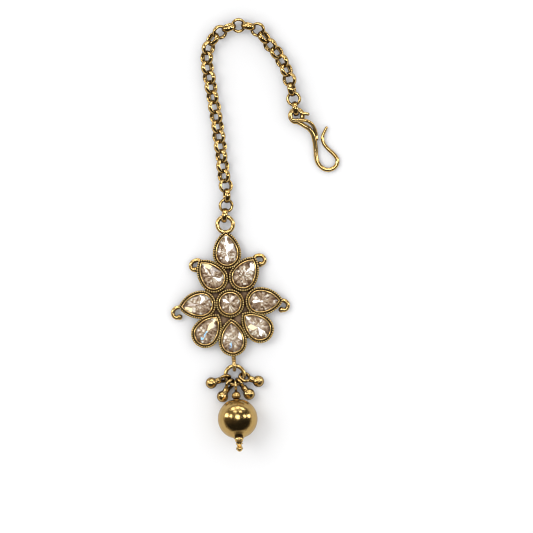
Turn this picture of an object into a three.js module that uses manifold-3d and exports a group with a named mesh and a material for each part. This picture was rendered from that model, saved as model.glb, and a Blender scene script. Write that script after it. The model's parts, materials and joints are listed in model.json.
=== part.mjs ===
// Maang tikka: a forehead jewel lying on its flat back, face up. A flower of eight pear stones round one
// round stone hangs on a belcher chain with a wire hook, and carries four small drops and one ball drop.
// Millimetres and degrees. +Z is up, +Y runs from the ball drop to the chain. The origin is at the middle
// of the whole jewel's footprint, on the surface that it lies on.

import * as THREE from "three";
import { mergeVertices } from "three/addons/utils/BufferGeometryUtils.js";
import Module from "manifold-3d";

const wasm = await Module();
wasm.setup();

// Stones
const PEAR = { length: 7, width: 5, crown: 0.75, girdle: 0.2, pavilion: 1.3, heart: 0.5 };
const ROUND = { width: 5, crown: 0.75, girdle: 0.2, pavilion: 1.1, heart: 0 };
const TABLE_SHARE = 0.62; // of the girdle's size
const BREAK_SHARE = 0.5; // size of the ring where the steep and shallow facets meet
const BREAK_RISE = 0.62; // its height, as a share of the pavilion
const CULET_SHARE = 0.07;
const STONE_CLEARANCE = 0.06;

// Bezel cups
const PLATE_THICKNESS = 0.8;
const LIP_OVER_GIRDLE = 0.25;
const LIP_HEIGHT = 0.3;
const LIP_SLOPE = 0.08; // how far the lip's outer edge lies under its inner edge
const LIP_ABOVE_BORDER = 0.17;
const CHANNEL_WIDTH = 0.15;
const CHANNEL_DEPTH = 0.26;
const BORDER_WIDTH = 0.45;
const CUP_EDGE = CHANNEL_WIDTH + BORDER_WIDTH; // from the stone's outline to the cup's outer wall
const SOLDER_DEPTH = 0.3; // how far one soldered piece runs into the next
const WEB_BULGE = 0.7; // the back plate's edge, past the straight line between two petals

// Flower. The tip-out petals stand on the round cup by their round end, the tip-in ones by their tip.
const LEAN = 3.5; // the whole flower, to the left of the chain's line
const PETALS = [
  { name: "upper_left", bearing: 29.6, tipOut: true, turn: 6.6, gap: 0.33 },
  { name: "upper_right", bearing: -29.8, tipOut: true, turn: -4.4, gap: 0.25 },
  { name: "left", bearing: 89, tipOut: true, turn: 4.3, gap: 0.05 },
  { name: "right", bearing: -89.5, tipOut: true, turn: -2, gap: 0.33 },
  { name: "lower_left", bearing: 131, tipOut: false, turn: 10.8, gap: 0.4 },
  { name: "lower_right", bearing: -132, tipOut: false, turn: -3.9, gap: 0.35 },
  { name: "bottom", bearing: 180, tipOut: false, turn: 0.8, gap: 0.25 },
];
const TOP_OVERLAP = 0.15; // of the top petal's cup with its two neighbours' cups

// Scrolls at the four side tips. Bearings run from the petal's own line to the scroll's centre, to its side.
const SCROLLS = [
  { petal: "upper_left", side: 1, bearing: 105, reach: 1.66, turn: 240, end: 0.75 },
  { petal: "upper_right", side: -1, bearing: 92, reach: 1.46, turn: 244, end: 0.85 },
  { petal: "left", side: 1, bearing: 75, reach: 1.35, turn: 221, end: 0.95 },
  { petal: "right", side: -1, bearing: 92, reach: 1.15, turn: 205, end: 1.0 },
];
const SCROLL_WIRE = 0.47; // radius
const SCROLL_BALL = 0.64;
const SCROLL_TIGHTENS = 4; // how soon its radius falls from its reach to its end

// Chain ring, stem and eye on the flower
const TOP_RING = { radius: 1.72, wire: 0.46 };
const STEM = { radius: 0.5, length: 0.8 };
const EYE = { radius: 0.9, wire: 0.42 };

// Belcher chain
const LINK = { outer: 1.68, thickness: 0.56, width: 1.1, insideWidth: 0.44 };
const LINK_BITE = 0.05; // how far two links press into each other where they touch
const RING_SLACK = 0.35; // between the first link and the flower's ring
const HOOK_SLACK = 0.3; // between the last link and the hook's eye
const FLOOR_GAP = 0.06; // under a link that stands on its edge
const ROUTE_STEPS = 4000; // of the walk along the route

// The chain's chosen route, from its first link's centre, with the turn of the links there
const CHAIN_ROUTE = [
  { x: 0, y: 0, roll: 0 },
  { x: 0.48, y: 4.4, roll: 10 },
  { x: -0.15, y: 8.69, roll: 45 },
  { x: -0.73, y: 13.31, roll: 38 },
  { x: -1.3, y: 17.71, roll: 50 },
  { x: -1.91, y: 21.89, roll: 45 },
  { x: -2.66, y: 26.07, roll: 40 },
  { x: -3.32, y: 30.03, roll: 48 },
  { x: -3.94, y: 34.1, roll: 45 },
  { x: -3.15, y: 37.95, roll: 40 },
  { x: -0.42, y: 40.7, roll: 20 },
  { x: 3.19, y: 41.78, roll: 8 },
  { x: 7.15, y: 40.94, roll: 15 },
  { x: 9.39, y: 38.17, roll: 40 },
  { x: 11.86, y: 35.22, roll: 48 },
  { x: 13.84, y: 31.24, roll: 40 },
  { x: 14.96, y: 26.66, roll: 8 },
  { x: 15.4, y: 24.4, roll: 0 },
  { x: 15.7, y: 22.2, roll: 0 },
];

// Hook
const HOOK_WIRE = 0.55; // radius
const HOOK_TIP = 0.3;
const HOOK_TAPER = 4; // how late the wire thins towards its tip
const WRAP_WIRE = 0.37;
const HOOK_EYE = 1.35; // radius of the eye's wire line
const WRAP_EYE = 1.2;
const WRAP_SOLDER = 0.08; // how far the wrapped end is pressed into the hook's wire
const EYE_TURN = { from: -80, to: -380, step: 30 }; // of the hook's wire round its eye
const WRAP_TURN = { from: -135, to: -330, step: 32 };
const RISING_POINTS = 6; // of the hook's line, up to its eye

// The hook hangs on the last link by an eye wound twice: once by its own wire, once by the wrapped end.
// Its lines are drawn from the eye's centre, with the chain coming from +Y.
const HOOK_LINE = [
  { x: 6.6, y: -2.6 },
  { x: 6.12, y: -3.52 },
  { x: 5.81, y: -4.29 },
  { x: 5.74, y: -5.17 },
  { x: 6.05, y: -6.16 },
  { x: 6.78, y: -7.11 },
  { x: 8.3, y: -8.55 },
  { x: 8.95, y: -9.57 },
  { x: 8.91, y: -10.56 },
  { x: 8.29, y: -11.4 },
  { x: 7.3, y: -11.84 },
  { x: 6.31, y: -11.77 },
  { x: 5.32, y: -11.15 },
  { x: 4.66, y: -10.23 },
  { x: 4.33, y: -9.02 },
  { x: 4.18, y: -6.9 },
  { x: 3.9, y: -5.2 },
  { x: 3.5, y: -3.9 },
  { x: 2.8, y: -2.9 },
  { x: 1.8, y: -2.25 },
];
const WRAP_LINE = [
  { x: 4.45, y: -5.1 },
  { x: 4.35, y: -4.2 },
  { x: 4.0, y: -2.9 },
  { x: 3.3, y: -1.75 },
  { x: 2.2, y: -1.1 },
  { x: 1.0, y: -0.95 },
];
const WRAP_STUB = { x: 2.5, y: 0.35 };

// Jump ring and drops. Bearings run from the +X side, in the flower's own frame.
const JUMP_RING = { radius: 2.05, wire: 0.42 };
const LOOP = { radius: 1.08, wire: 0.38 };
const SMALL_DROP = { ball: 1.28, neck: 0.4, neckWide: 0.66, neckThin: 0.7, neckSink: 0.38 };
const LOOP_CLEARANCE = 0.05;
const SMALL_DROPS = [
  { name: "small_drop_left", at: 195, points: 195, tilt: 28, slack: 1 },
  { name: "small_drop_right", at: -15, points: -20, tilt: 46, slack: 0.75 },
  { name: "small_drop_lower_left", at: -122, points: -124, tilt: 30, slack: 1 },
  { name: "small_drop_lower_right", at: -59.5, points: -54.5, tilt: -10, slack: 0.1 },
];
const MAIN_DROP = { at: -89, points: -89.8, loop: 1.04, loopRest: 0.04 };
const BALL = { radius: 4.4, hole: 0.46, shoulder: 3.6, mouth: 1.15, mouthAt: 4.5 };
const BALL_NECK = [
  { along: 0.4, narrowed: 0.5 },
  { along: 0.75, narrowed: 0.88 },
]; // shares of the way from the ball's shoulder to its mouth
const TOP_BEAD = 0.98;
const CAP_BEAD = 0.93;
const CAP_SEAT = 0.6; // how deep the cap bead sits in the ball's mouth
const TIP_BEAD = 0.67;
const TIP_NECK = 0.62;
const COLLAR = { wide: 0.78, thin: 0.5 };
const PIN_WIRE = 0.3;
const STACK_GAP = 0.06; // between two pieces threaded on the pin
const DRILL = 3; // a drill's length, in radii of what it drills

// How finely round forms are divided
const SIDES = { cupArc: 10, cupFlank: 5, wire: 5, ring: 12, link: 10, bead: 10, ball: 20, small: 8 };
const STONE_SIDES = { arc: 8, flank: 4 };
const PLATE_SIDES = 3; // of the back plate's edge, between two petals
const HOOK_SIDES = 7;
const ROWS_SHARE = 0.6; // of a ball's sides
const STEPS = { scroll: 10, scrollWire: 15, hook: 52, wrap: 26 };

const GOLD = new THREE.MeshStandardMaterial({ color: 0xb8923c, roughness: 0.25, metalness: 1 });
const DARK_GOLD = new THREE.MeshStandardMaterial({ color: 0x8f6a2a, roughness: 0.3, metalness: 1 });
const CHAMPAGNE = new THREE.MeshStandardMaterial({ color: 0xc9a889, roughness: 0.05, metalness: 0 });

const rad = THREE.MathUtils.degToRad;
const flat = (x, y, z = 0) => new THREE.Vector3(x, y, z);
const bearing = (angle, reach = 1) => flat(reach * Math.cos(rad(angle)), reach * Math.sin(rad(angle)));

// A closed geometry as a solid that can be joined or cut.
function solidOf(geometry) {
  const bare = geometry.clone();
  bare.deleteAttribute("normal");
  bare.deleteAttribute("uv");
  const merged = mergeVertices(bare, 1e-4);
  return new wasm.Manifold(
    new wasm.Mesh({
      numProp: 3,
      vertProperties: merged.attributes.position.array,
      triVerts: new Uint32Array(merged.index.array),
    }),
  );
}

function geometryOf(solid) {
  const mesh = solid.getMesh();
  const geometry = new THREE.BufferGeometry();
  geometry.setAttribute("position", new THREE.BufferAttribute(mesh.vertProperties, 3));
  geometry.setIndex(new THREE.BufferAttribute(mesh.triVerts, 1));
  geometry.computeVertexNormals();
  return geometry;
}

const join = (geometries) => geometries.map(solidOf).reduce((whole, next) => whole.add(next));

// Convex rings of equal point counts, joined in turn and closed by a flat cap at each end.
function loft(rings) {
  const count = rings[0].length;
  const index = [];
  for (let ring = 0; ring + 1 < rings.length; ring += 1) {
    for (let side = 0; side < count; side += 1) {
      const here = ring * count + side;
      const next = ring * count + ((side + 1) % count);
      index.push(here, next, next + count, here, next + count, here + count);
    }
  }
  const last = (rings.length - 1) * count;
  for (let side = 1; side + 1 < count; side += 1) {
    index.push(0, side + 1, side);
    index.push(last, last + side, last + side + 1);
  }
  const geometry = new THREE.BufferGeometry().setFromPoints(rings.flat());
  geometry.setIndex(index);
  return geometry;
}

// A stone's outline in plan, grown by an offset: a half circle and two flanks that meet at the tip.
function pearPlan(stone, offset) {
  const roundRadius = stone.width / 2;
  const tip = stone.length - roundRadius;
  const flankRadius = (roundRadius ** 2 + tip ** 2) / (2 * roundRadius);
  const flankCentre = flankRadius - roundRadius;
  const tipAngle = Math.acos(flankCentre / (flankRadius + offset));
  return { roundRadius, flankRadius, flankCentre, tipAngle };
}

const arc = (x, radius, start, end, parts) =>
  new THREE.EllipseCurve(x, 0, radius, radius, start, end).getPoints(parts).slice(0, -1);

function pearOutline(stone, offset, arcParts = SIDES.cupArc, flankParts = SIDES.cupFlank) {
  const plan = pearPlan(stone, offset);
  const flank = plan.flankRadius + offset;
  return [
    ...arc(-plan.flankCentre, flank, 0, plan.tipAngle, flankParts),
    ...arc(plan.flankCentre, flank, Math.PI - plan.tipAngle, Math.PI, flankParts),
    ...arc(0, plan.roundRadius + offset, Math.PI, 2 * Math.PI, arcParts),
  ];
}

function roundOutline(stone, offset, arcParts = SIDES.cupArc, flankParts = SIDES.cupFlank) {
  return arc(0, stone.width / 2 + offset, 0, 2 * Math.PI, arcParts + 2 * flankParts);
}

// Where a pear cup's outermost tip lies, from the centre of its round end.
function cupTip(stone) {
  const plan = pearPlan(stone, CUP_EDGE);
  return (plan.flankRadius + CUP_EDGE) * Math.sin(plan.tipAngle);
}

const lift = (points, height) => points.map((p) => flat(p.x, p.y, height));

// Heights in a cup, for the stone that it holds.
function cupLevels(stone) {
  const table = PLATE_THICKNESS + STONE_CLEARANCE;
  const girdle = table + stone.crown;
  const girdleTop = girdle + stone.girdle;
  const slope = (stone.pavilion * BREAK_RISE) / ((1 - BREAK_SHARE) * (stone.width / 2));
  const lipUnder = girdleTop + 2 * STONE_CLEARANCE + LIP_OVER_GIRDLE * slope;
  const lipTop = lipUnder + LIP_HEIGHT;
  const border = lipTop - LIP_ABOVE_BORDER;
  return { table, girdle, girdleTop, lipUnder, lipTop, border };
}

// The cup before its stone's room is cut: outer wall, round border, channel, and the lip over the girdle.
function cup(stone, outline) {
  const level = cupLevels(stone);
  const channelFloor = level.border - CHANNEL_DEPTH;
  const shoulder = level.border - BORDER_WIDTH / 2;
  const profile = [
    { offset: CUP_EDGE, height: 0 },
    { offset: CUP_EDGE, height: shoulder },
    { offset: CHANNEL_WIDTH + BORDER_WIDTH / 2, height: level.border },
    { offset: CHANNEL_WIDTH, height: shoulder },
    { offset: CHANNEL_WIDTH / 2, height: channelFloor },
    { offset: 0, height: level.lipTop - LIP_SLOPE },
    { offset: -LIP_OVER_GIRDLE, height: level.lipTop },
  ];
  return loft(profile.map((row) => lift(outline(stone, row.offset), row.height)));
}

// The room that a cup keeps free for its stone, from the pocket's floor to above the culet.
function stoneRoom(stone, outline) {
  const level = cupLevels(stone);
  const above = level.girdleTop + 2 * stone.pavilion;
  const profile = [
    { offset: STONE_CLEARANCE, height: PLATE_THICKNESS },
    { offset: STONE_CLEARANCE, height: level.girdleTop + STONE_CLEARANCE },
    { offset: -LIP_OVER_GIRDLE, height: level.lipUnder },
    { offset: -LIP_OVER_GIRDLE, height: above },
  ];
  return loft(profile.map((row) => lift(outline(stone, row.offset), row.height)));
}

// A stone set table down, with its facets rising to a small flat culet.
function cutStone(stone, outline) {
  const level = cupLevels(stone);
  const girdle = outline(stone, 0, STONE_SIDES.arc, STONE_SIDES.flank);
  const heart = flat(0, stone.heart);
  const ring = (share, height, every) =>
    girdle
      .filter((_, i) => i % every === 0)
      .map((p) => flat(heart.x + (p.x - heart.x) * share, heart.y + (p.y - heart.y) * share, height));
  const points = [
    ...ring(TABLE_SHARE, level.table, 2),
    ...ring(1, level.girdle, 1),
    ...ring(1, level.girdleTop, 1),
    ...ring(BREAK_SHARE, level.girdleTop + stone.pavilion * BREAK_RISE, 2),
    ...ring(CULET_SHARE, level.girdleTop + stone.pavilion, 2),
  ];
  const many = girdle.length;
  const few = many / 2;
  const start = { table: 0, low: few, high: few + many, middle: few + 2 * many, culet: 2 * few + 2 * many };
  const index = [];
  for (let facet = 0; facet < few; facet += 1) {
    const after = (facet + 1) % few;
    const [a, b, c] = [2 * facet, 2 * facet + 1, (2 * facet + 2) % many];
    index.push(start.table + facet, start.low + b, start.low + a);
    index.push(start.table + facet, start.table + after, start.low + b);
    index.push(start.table + after, start.low + c, start.low + b);
    index.push(start.middle + facet, start.high + a, start.high + b);
    index.push(start.middle + facet, start.high + b, start.middle + after);
    index.push(start.middle + after, start.high + b, start.high + c);
    index.push(start.middle + facet, start.middle + after, start.culet + after);
    index.push(start.middle + facet, start.culet + after, start.culet + facet);
  }
  for (let side = 0; side < many; side += 1) {
    const next = (side + 1) % many;
    index.push(start.low + side, start.low + next, start.high + next);
    index.push(start.low + side, start.high + next, start.high + side);
  }
  for (let side = 1; side + 1 < few; side += 1) {
    index.push(start.table, start.table + side + 1, start.table + side);
    index.push(start.culet, start.culet + side, start.culet + side + 1);
  }
  const geometry = new THREE.BufferGeometry().setFromPoints(points);
  geometry.setIndex(index);
  return geometry;
}

// A tube along points, round in section. Its radius may fall to its end, the later the higher its taper.
function wire(points, startRadius, endRadius, steps, sides = SIDES.wire, taper = 1) {
  const path = new THREE.CatmullRomCurve3(points, false, "centripetal");
  const circle = new THREE.Shape(
    new THREE.EllipseCurve(0, 0, startRadius, startRadius, 0, 2 * Math.PI).getPoints(sides).slice(0, -1),
  );
  const geometry = new THREE.ExtrudeGeometry(circle, { steps, extrudePath: path, bevelEnabled: false });
  if (endRadius === startRadius) return geometry;
  const centres = path.getSpacedPoints(steps);
  const position = geometry.attributes.position;
  const point = new THREE.Vector3();
  for (let i = 0; i < position.count; i += 1) {
    point.fromBufferAttribute(position, i);
    const away = centres.map((centre) => centre.distanceTo(point));
    const step = away.indexOf(Math.min(...away));
    const share = THREE.MathUtils.lerp(1, endRadius / startRadius, (step / steps) ** taper);
    point.sub(centres[step]).multiplyScalar(share).add(centres[step]);
    position.setXYZ(i, point.x, point.y, point.z);
  }
  return geometry;
}

function ball(radius, centre, sides = SIDES.bead) {
  const geometry = new THREE.SphereGeometry(radius, sides, Math.round(sides * ROWS_SHARE));
  return geometry.translate(centre.x, centre.y, centre.z);
}

// Petals, placed from the cups' own sizes.
const roundEdge = ROUND.width / 2 + CUP_EDGE;
const pearEdge = PEAR.width / 2 + CUP_EDGE;

function petalPlaces() {
  const places = PETALS.map((petal) => {
    const line = petal.bearing + 90;
    if (petal.tipOut) {
      const centre = bearing(line, roundEdge + petal.gap + pearEdge);
      return { name: petal.name, centre, tipLine: line + petal.turn };
    }
    const tip = bearing(line, roundEdge + petal.gap);
    const tipLine = line + 180 + petal.turn;
    return { name: petal.name, centre: tip.clone().sub(bearing(tipLine, cupTip(PEAR))), tipLine };
  });
  const centreOf = (name) => places.find((place) => place.name === name).centre;
  const [left, right] = ["upper_left", "upper_right"].map(centreOf);
  const middle = left.clone().add(right).divideScalar(2);
  const half = left.distanceTo(right) / 2;
  const rise = Math.sqrt((2 * pearEdge - TOP_OVERLAP) ** 2 - half ** 2);
  const centre = middle.add(bearing(90, rise));
  return [...places, { name: "top", centre, tipLine: 90 }];
}

const petals = petalPlaces();
const petalNamed = (name) => petals.find((petal) => petal.name === name);
const tipOf = (petal) => petal.centre.clone().add(bearing(petal.tipLine, cupTip(PEAR)));
const inPlace = (geometry, petal) =>
  geometry.rotateZ(rad(petal.tipLine - 90)).translate(petal.centre.x, petal.centre.y, 0);

// The back plate fills the windows between the cups.
function backPlate() {
  const order = [...petals].sort(
    (a, b) => Math.atan2(a.centre.y, a.centre.x) - Math.atan2(b.centre.y, b.centre.x),
  );
  const shape = new THREE.Shape();
  shape.moveTo(order[0].centre.x, order[0].centre.y);
  order.forEach((petal, i) => {
    const next = order[(i + 1) % order.length];
    const middle = petal.centre.clone().add(next.centre).divideScalar(2);
    const bulged = middle.add(middle.clone().normalize().multiplyScalar(2 * WEB_BULGE));
    shape.quadraticCurveTo(bulged.x, bulged.y, next.centre.x, next.centre.y);
  });
  const settings = { depth: PLATE_THICKNESS, bevelEnabled: false, curveSegments: PLATE_SIDES };
  return new THREE.ExtrudeGeometry(shape, settings);
}

// A scroll grows from a petal's tip, curls in to one side and ends in a small ball.
function scroll(row) {
  const petal = petalNamed(row.petal);
  const tip = tipOf(petal);
  const line = petal.tipLine + row.side * row.bearing;
  const centre = tip.clone().add(bearing(line, row.reach));
  const points = [tip.clone().sub(bearing(petal.tipLine, 2 * SOLDER_DEPTH))];
  for (let part = 0; part <= STEPS.scroll; part += 1) {
    const share = part / STEPS.scroll;
    const radius = row.end + (row.reach - row.end) * (1 - share) ** SCROLL_TIGHTENS;
    points.push(centre.clone().add(bearing(line + 180 + row.side * row.turn * share, radius)));
  }
  points.forEach((point) => point.setZ(PLATE_THICKNESS));
  const end = points[points.length - 1];
  return [wire(points, SCROLL_WIRE, SCROLL_WIRE, STEPS.scrollWire), ball(SCROLL_BALL, end, SIDES.small)];
}

const chainHeight = LINK.outer + FLOOR_GAP;
const ringCentre = tipOf(petalNamed("top"))
  .add(bearing(90, TOP_RING.radius - SOLDER_DEPTH))
  .setZ(chainHeight);

function topRing() {
  const ring = new THREE.TorusGeometry(TOP_RING.radius, TOP_RING.wire, SIDES.small, 2 * SIDES.small);
  return ring.translate(...ringCentre);
}

const EYE_HEIGHT = EYE.radius + EYE.wire + 2 * FLOOR_GAP;
const stemStart = petalNamed("bottom").centre.clone().add(bearing(-90, pearEdge - SOLDER_DEPTH));
const eyeCentre = stemStart
  .clone()
  .add(bearing(-90, SOLDER_DEPTH + STEM.length + EYE.radius + EYE.wire))
  .setZ(EYE_HEIGHT);

function stemAndEye() {
  const length = SOLDER_DEPTH + STEM.length + 2 * EYE.wire;
  const stem = new THREE.CylinderGeometry(STEM.radius, STEM.radius, length, SIDES.bead);
  stem.translate(stemStart.x, stemStart.y - length / 2, EYE_HEIGHT);
  const eye = new THREE.TorusGeometry(EYE.radius, EYE.wire, SIDES.small, SIDES.ring).rotateY(Math.PI / 2);
  return [stem, eye.translate(...eyeCentre)];
}

function settingSolid() {
  const cups = petals.map((petal) => inPlace(cup(PEAR, pearOutline), petal));
  const scrolls = SCROLLS.map(scroll).flat();
  const round = cup(ROUND, roundOutline);
  const metal = join([backPlate(), round, ...cups, ...scrolls, topRing(), ...stemAndEye()]);
  const rooms = [
    stoneRoom(ROUND, roundOutline),
    ...petals.map((petal) => inPlace(stoneRoom(PEAR, pearOutline), petal)),
  ];
  return rooms.map(solidOf).reduce((whole, room) => whole.subtract(room), metal);
}

// One belcher link: a ring of a low wide band, lying in the XZ plane with its chain along X.
const linkMiddle = LINK.outer - LINK.thickness / 2;
const linkInner = (LINK.outer - LINK.thickness) * Math.cos(Math.PI / SIDES.link);

function linkGeometry() {
  const inner = LINK.outer - LINK.thickness;
  const band = [
    { radius: inner, height: -LINK.insideWidth / 2 },
    { radius: linkMiddle, height: -LINK.width / 2 },
    { radius: LINK.outer, height: 0 },
    { radius: linkMiddle, height: LINK.width / 2 },
    { radius: inner, height: LINK.insideWidth / 2 },
  ];
  const profile = [...band, band[0]].map((p) => new THREE.Vector2(p.radius, p.height));
  const ring = new THREE.LatheGeometry(profile, SIDES.link);
  return ring.rotateY(Math.PI / SIDES.link + Math.PI / 2);
}

const linkPitch = 2 * linkInner + LINK_BITE;

// Links' centres walked along the route at one pitch, so that each touches the next. Their number is odd,
// because links lie and stand in turn, and both end links stand.
function walkChain(start) {
  const curve = new THREE.CatmullRomCurve3(CHAIN_ROUTE.map((p) => flat(start.x + p.x, start.y + p.y)));
  const rolls = CHAIN_ROUTE.map((p) => p.roll);
  const stops = [];
  for (let n = 0; n <= ROUTE_STEPS; n += 1) {
    const point = curve.getPoint(n / ROUTE_STEPS);
    const last = stops[stops.length - 1];
    if (last && point.distanceTo(last.point) < linkPitch) continue;
    const place = (n / ROUTE_STEPS) * (rolls.length - 1);
    const low = Math.min(Math.floor(place), rolls.length - 2);
    const roll = THREE.MathUtils.lerp(rolls[low], rolls[low + 1], place - low);
    stops.push({ point, roll });
  }
  return stops.length % 2 === 0 ? stops.slice(0, -1) : stops;
}

const lean = (point) => point.clone().applyAxisAngle(flat(0, 0, 1), rad(LEAN));
const firstLinkReach = TOP_RING.radius - TOP_RING.wire + linkInner - RING_SLACK;
const chainStart = lean(ringCentre.clone().add(bearing(90, firstLinkReach)));
const chainStops = walkChain(chainStart);
const lastStop = chainStops[chainStops.length - 1];
const beforeLast = chainStops[chainStops.length - 2];
const chainEndLine = lastStop.point.clone().sub(beforeLast.point).normalize();

function chainSolid() {
  const links = chainStops.map((stop, i) => {
    const before = chainStops[Math.max(i - 1, 0)].point;
    const after = chainStops[Math.min(i + 1, chainStops.length - 1)].point;
    const along = after.clone().sub(before).normalize();
    const turn = Math.atan2(along.y, along.x);
    const standing = i % 2 === 0 ? 0 : -90;
    const geometry = linkGeometry().rotateX(rad(standing + stop.roll));
    return geometry.rotateZ(turn).translate(stop.point.x, stop.point.y, chainHeight);
  });
  return join(links);
}

const hookReach = HOOK_EYE + linkInner - HOOK_WIRE - HOOK_SLACK;
const hookEye = lastStop.point.clone().add(chainEndLine.multiplyScalar(hookReach));

// The two turns of the eye fill the last link's height evenly.
function hookSolid() {
  const shankHeight = HOOK_WIRE;
  const step = HOOK_WIRE + WRAP_WIRE - WRAP_SOLDER;
  const eyeHeight = chainHeight - step + HOOK_WIRE - WRAP_SOLDER / 2;
  const wrapHeight = eyeHeight + step;
  const shank = HOOK_LINE.map((p, i) => {
    const up = THREE.MathUtils.smoothstep(i, HOOK_LINE.length - RISING_POINTS, HOOK_LINE.length - 1);
    return flat(p.x, p.y, THREE.MathUtils.lerp(shankHeight, eyeHeight, up));
  });
  for (let angle = EYE_TURN.from; angle >= EYE_TURN.to; angle -= EYE_TURN.step) {
    shank.push(bearing(angle, HOOK_EYE).setZ(eyeHeight));
  }
  shank.reverse();
  const wrap = WRAP_LINE.map((p, i) => {
    const up = THREE.MathUtils.smoothstep(i, 1, WRAP_LINE.length - 2);
    return flat(p.x, p.y, THREE.MathUtils.lerp(shankHeight + WRAP_WIRE / 2, wrapHeight, up));
  });
  for (let angle = WRAP_TURN.from; angle >= WRAP_TURN.to; angle -= WRAP_TURN.step) {
    wrap.push(bearing(angle, WRAP_EYE).setZ(wrapHeight));
  }
  wrap.push(flat(WRAP_STUB.x, WRAP_STUB.y, wrapHeight));
  const metal = join([
    wire(shank, HOOK_WIRE, HOOK_TIP, STEPS.hook, HOOK_SIDES, HOOK_TAPER),
    wire(wrap, WRAP_WIRE, WRAP_WIRE, STEPS.wrap),
  ]);
  return metal.add(solidOf(ball(HOOK_TIP, shank[shank.length - 1], SIDES.small)));
}

// A ring loop whose far side lies along +X, turned about X by its tilt from standing.
function loopGeometry(radius, thickness, tilt) {
  return new THREE.TorusGeometry(radius, thickness, SIDES.wire, SIDES.ring)
    .rotateX(Math.PI / 2 + rad(tilt));
}

// A lathe profile of radii along X, as a closed solid on that line.
function turned(profile, sides) {
  const points = profile.map((p) => new THREE.Vector2(p.radius, p.along));
  return new THREE.LatheGeometry(points, sides).rotateZ(-Math.PI / 2);
}

function smallDrop(row) {
  const start = LOOP.radius;
  const neckEnd = LOOP.radius + LOOP.wire + SMALL_DROP.neck;
  const centre = neckEnd + SMALL_DROP.ball;
  const neck = turned(
    [
      { radius: 0, along: start },
      { radius: SMALL_DROP.neckThin, along: start },
      { radius: SMALL_DROP.neckThin, along: start + LOOP.wire },
      { radius: SMALL_DROP.neckWide, along: neckEnd + SMALL_DROP.neckSink },
      { radius: 0, along: neckEnd + SMALL_DROP.neckSink },
    ],
    SIDES.bead,
  );
  const body = ball(SMALL_DROP.ball, flat(centre, 0), SIDES.bead);
  return join([loopGeometry(LOOP.radius, LOOP.wire, row.tilt), neck, body]);
}

// Ball drop, along X from its loop's centre.
const mainLoopOuter = MAIN_DROP.loop + PIN_WIRE;
const topBeadAt = mainLoopOuter + STACK_GAP + TOP_BEAD;
const ballAt = topBeadAt + TOP_BEAD + STACK_GAP + BALL.radius;
const capBeadAt = ballAt + BALL.mouthAt - CAP_SEAT + CAP_BEAD;
const tipBeadAt = capBeadAt + CAP_BEAD + TIP_NECK + TIP_BEAD;
const beadHole = PIN_WIRE + STACK_GAP;

function drilledBead(radius, centre) {
  const bead = solidOf(ball(radius, flat(centre, 0)));
  const drill = new THREE.CylinderGeometry(beadHole, beadHole, DRILL * radius, SIDES.bead);
  return bead.subtract(solidOf(drill.rotateZ(Math.PI / 2).translate(centre, 0, 0)));
}

// The hollow ball in outline: a sphere that runs out in a short concave mouth, with the cap bead's seat.
function ballSolid() {
  const profile = [{ radius: 0, along: ballAt - BALL.radius }];
  const parts = SIDES.ball / 2;
  const shoulderAngle = 90 + THREE.MathUtils.radToDeg(Math.asin(BALL.shoulder / BALL.radius));
  for (let part = 1; part <= parts; part += 1) {
    const angle = rad((shoulderAngle * part) / parts);
    profile.push({
      radius: BALL.radius * Math.sin(angle),
      along: ballAt - BALL.radius * Math.cos(angle),
    });
  }
  const last = profile[profile.length - 1];
  const length = ballAt + BALL.mouthAt - last.along;
  for (const row of BALL_NECK) {
    const radius = THREE.MathUtils.lerp(last.radius, BALL.mouth, row.narrowed);
    profile.push({ radius, along: last.along + length * row.along });
  }
  profile.push({ radius: BALL.mouth, along: ballAt + BALL.mouthAt });
  profile.push({ radius: 0, along: ballAt + BALL.mouthAt });
  const drill = new THREE.CylinderGeometry(BALL.hole, BALL.hole, DRILL * BALL.radius, SIDES.bead);
  drill.rotateZ(Math.PI / 2).translate(ballAt, 0, 0);
  const seat = ball(CAP_BEAD + STACK_GAP, flat(capBeadAt, 0), SIDES.bead);
  return solidOf(turned(profile, SIDES.ball))
    .subtract(solidOf(drill))
    .subtract(solidOf(seat));
}

// The pin: a loop, a straight wire through every bead, a waisted collar and a ball tip.
function pinSolid() {
  const length = tipBeadAt - MAIN_DROP.loop;
  const stem = new THREE.CylinderGeometry(PIN_WIRE, PIN_WIRE, length, SIDES.small).rotateZ(Math.PI / 2);
  stem.translate(MAIN_DROP.loop + length / 2, 0, 0);
  const collarStart = capBeadAt + CAP_BEAD + STACK_GAP;
  const collar = turned(
    [
      { radius: 0, along: collarStart },
      { radius: COLLAR.wide, along: collarStart },
      { radius: COLLAR.thin, along: collarStart + TIP_NECK / 2 },
      { radius: COLLAR.wide, along: tipBeadAt },
      { radius: 0, along: tipBeadAt },
    ],
    SIDES.bead,
  );
  const tip = ball(TIP_BEAD, flat(tipBeadAt, 0));
  return join([loopGeometry(MAIN_DROP.loop, PIN_WIRE, 0), stem, collar, tip]);
}

function mesh(name, solid, material, parent) {
  const made = new THREE.Mesh(geometryOf(solid), material);
  made.name = name;
  parent.add(made);
  return made;
}

// Assembly
const tikka = new THREE.Group();
const flower = new THREE.Group();
flower.rotation.z = rad(LEAN);
tikka.add(flower);

mesh("setting", settingSolid(), GOLD, flower);
mesh("stone_centre", solidOf(cutStone(ROUND, roundOutline)), CHAMPAGNE, flower);
for (const petal of petals) {
  mesh(`stone_${petal.name}`, solidOf(inPlace(cutStone(PEAR, pearOutline), petal)), CHAMPAGNE, flower);
}

mesh("chain", chainSolid(), GOLD, tikka);
const hook = mesh("hook", hookSolid(), GOLD, tikka);
hook.position.set(hookEye.x, hookEye.y, 0);

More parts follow.
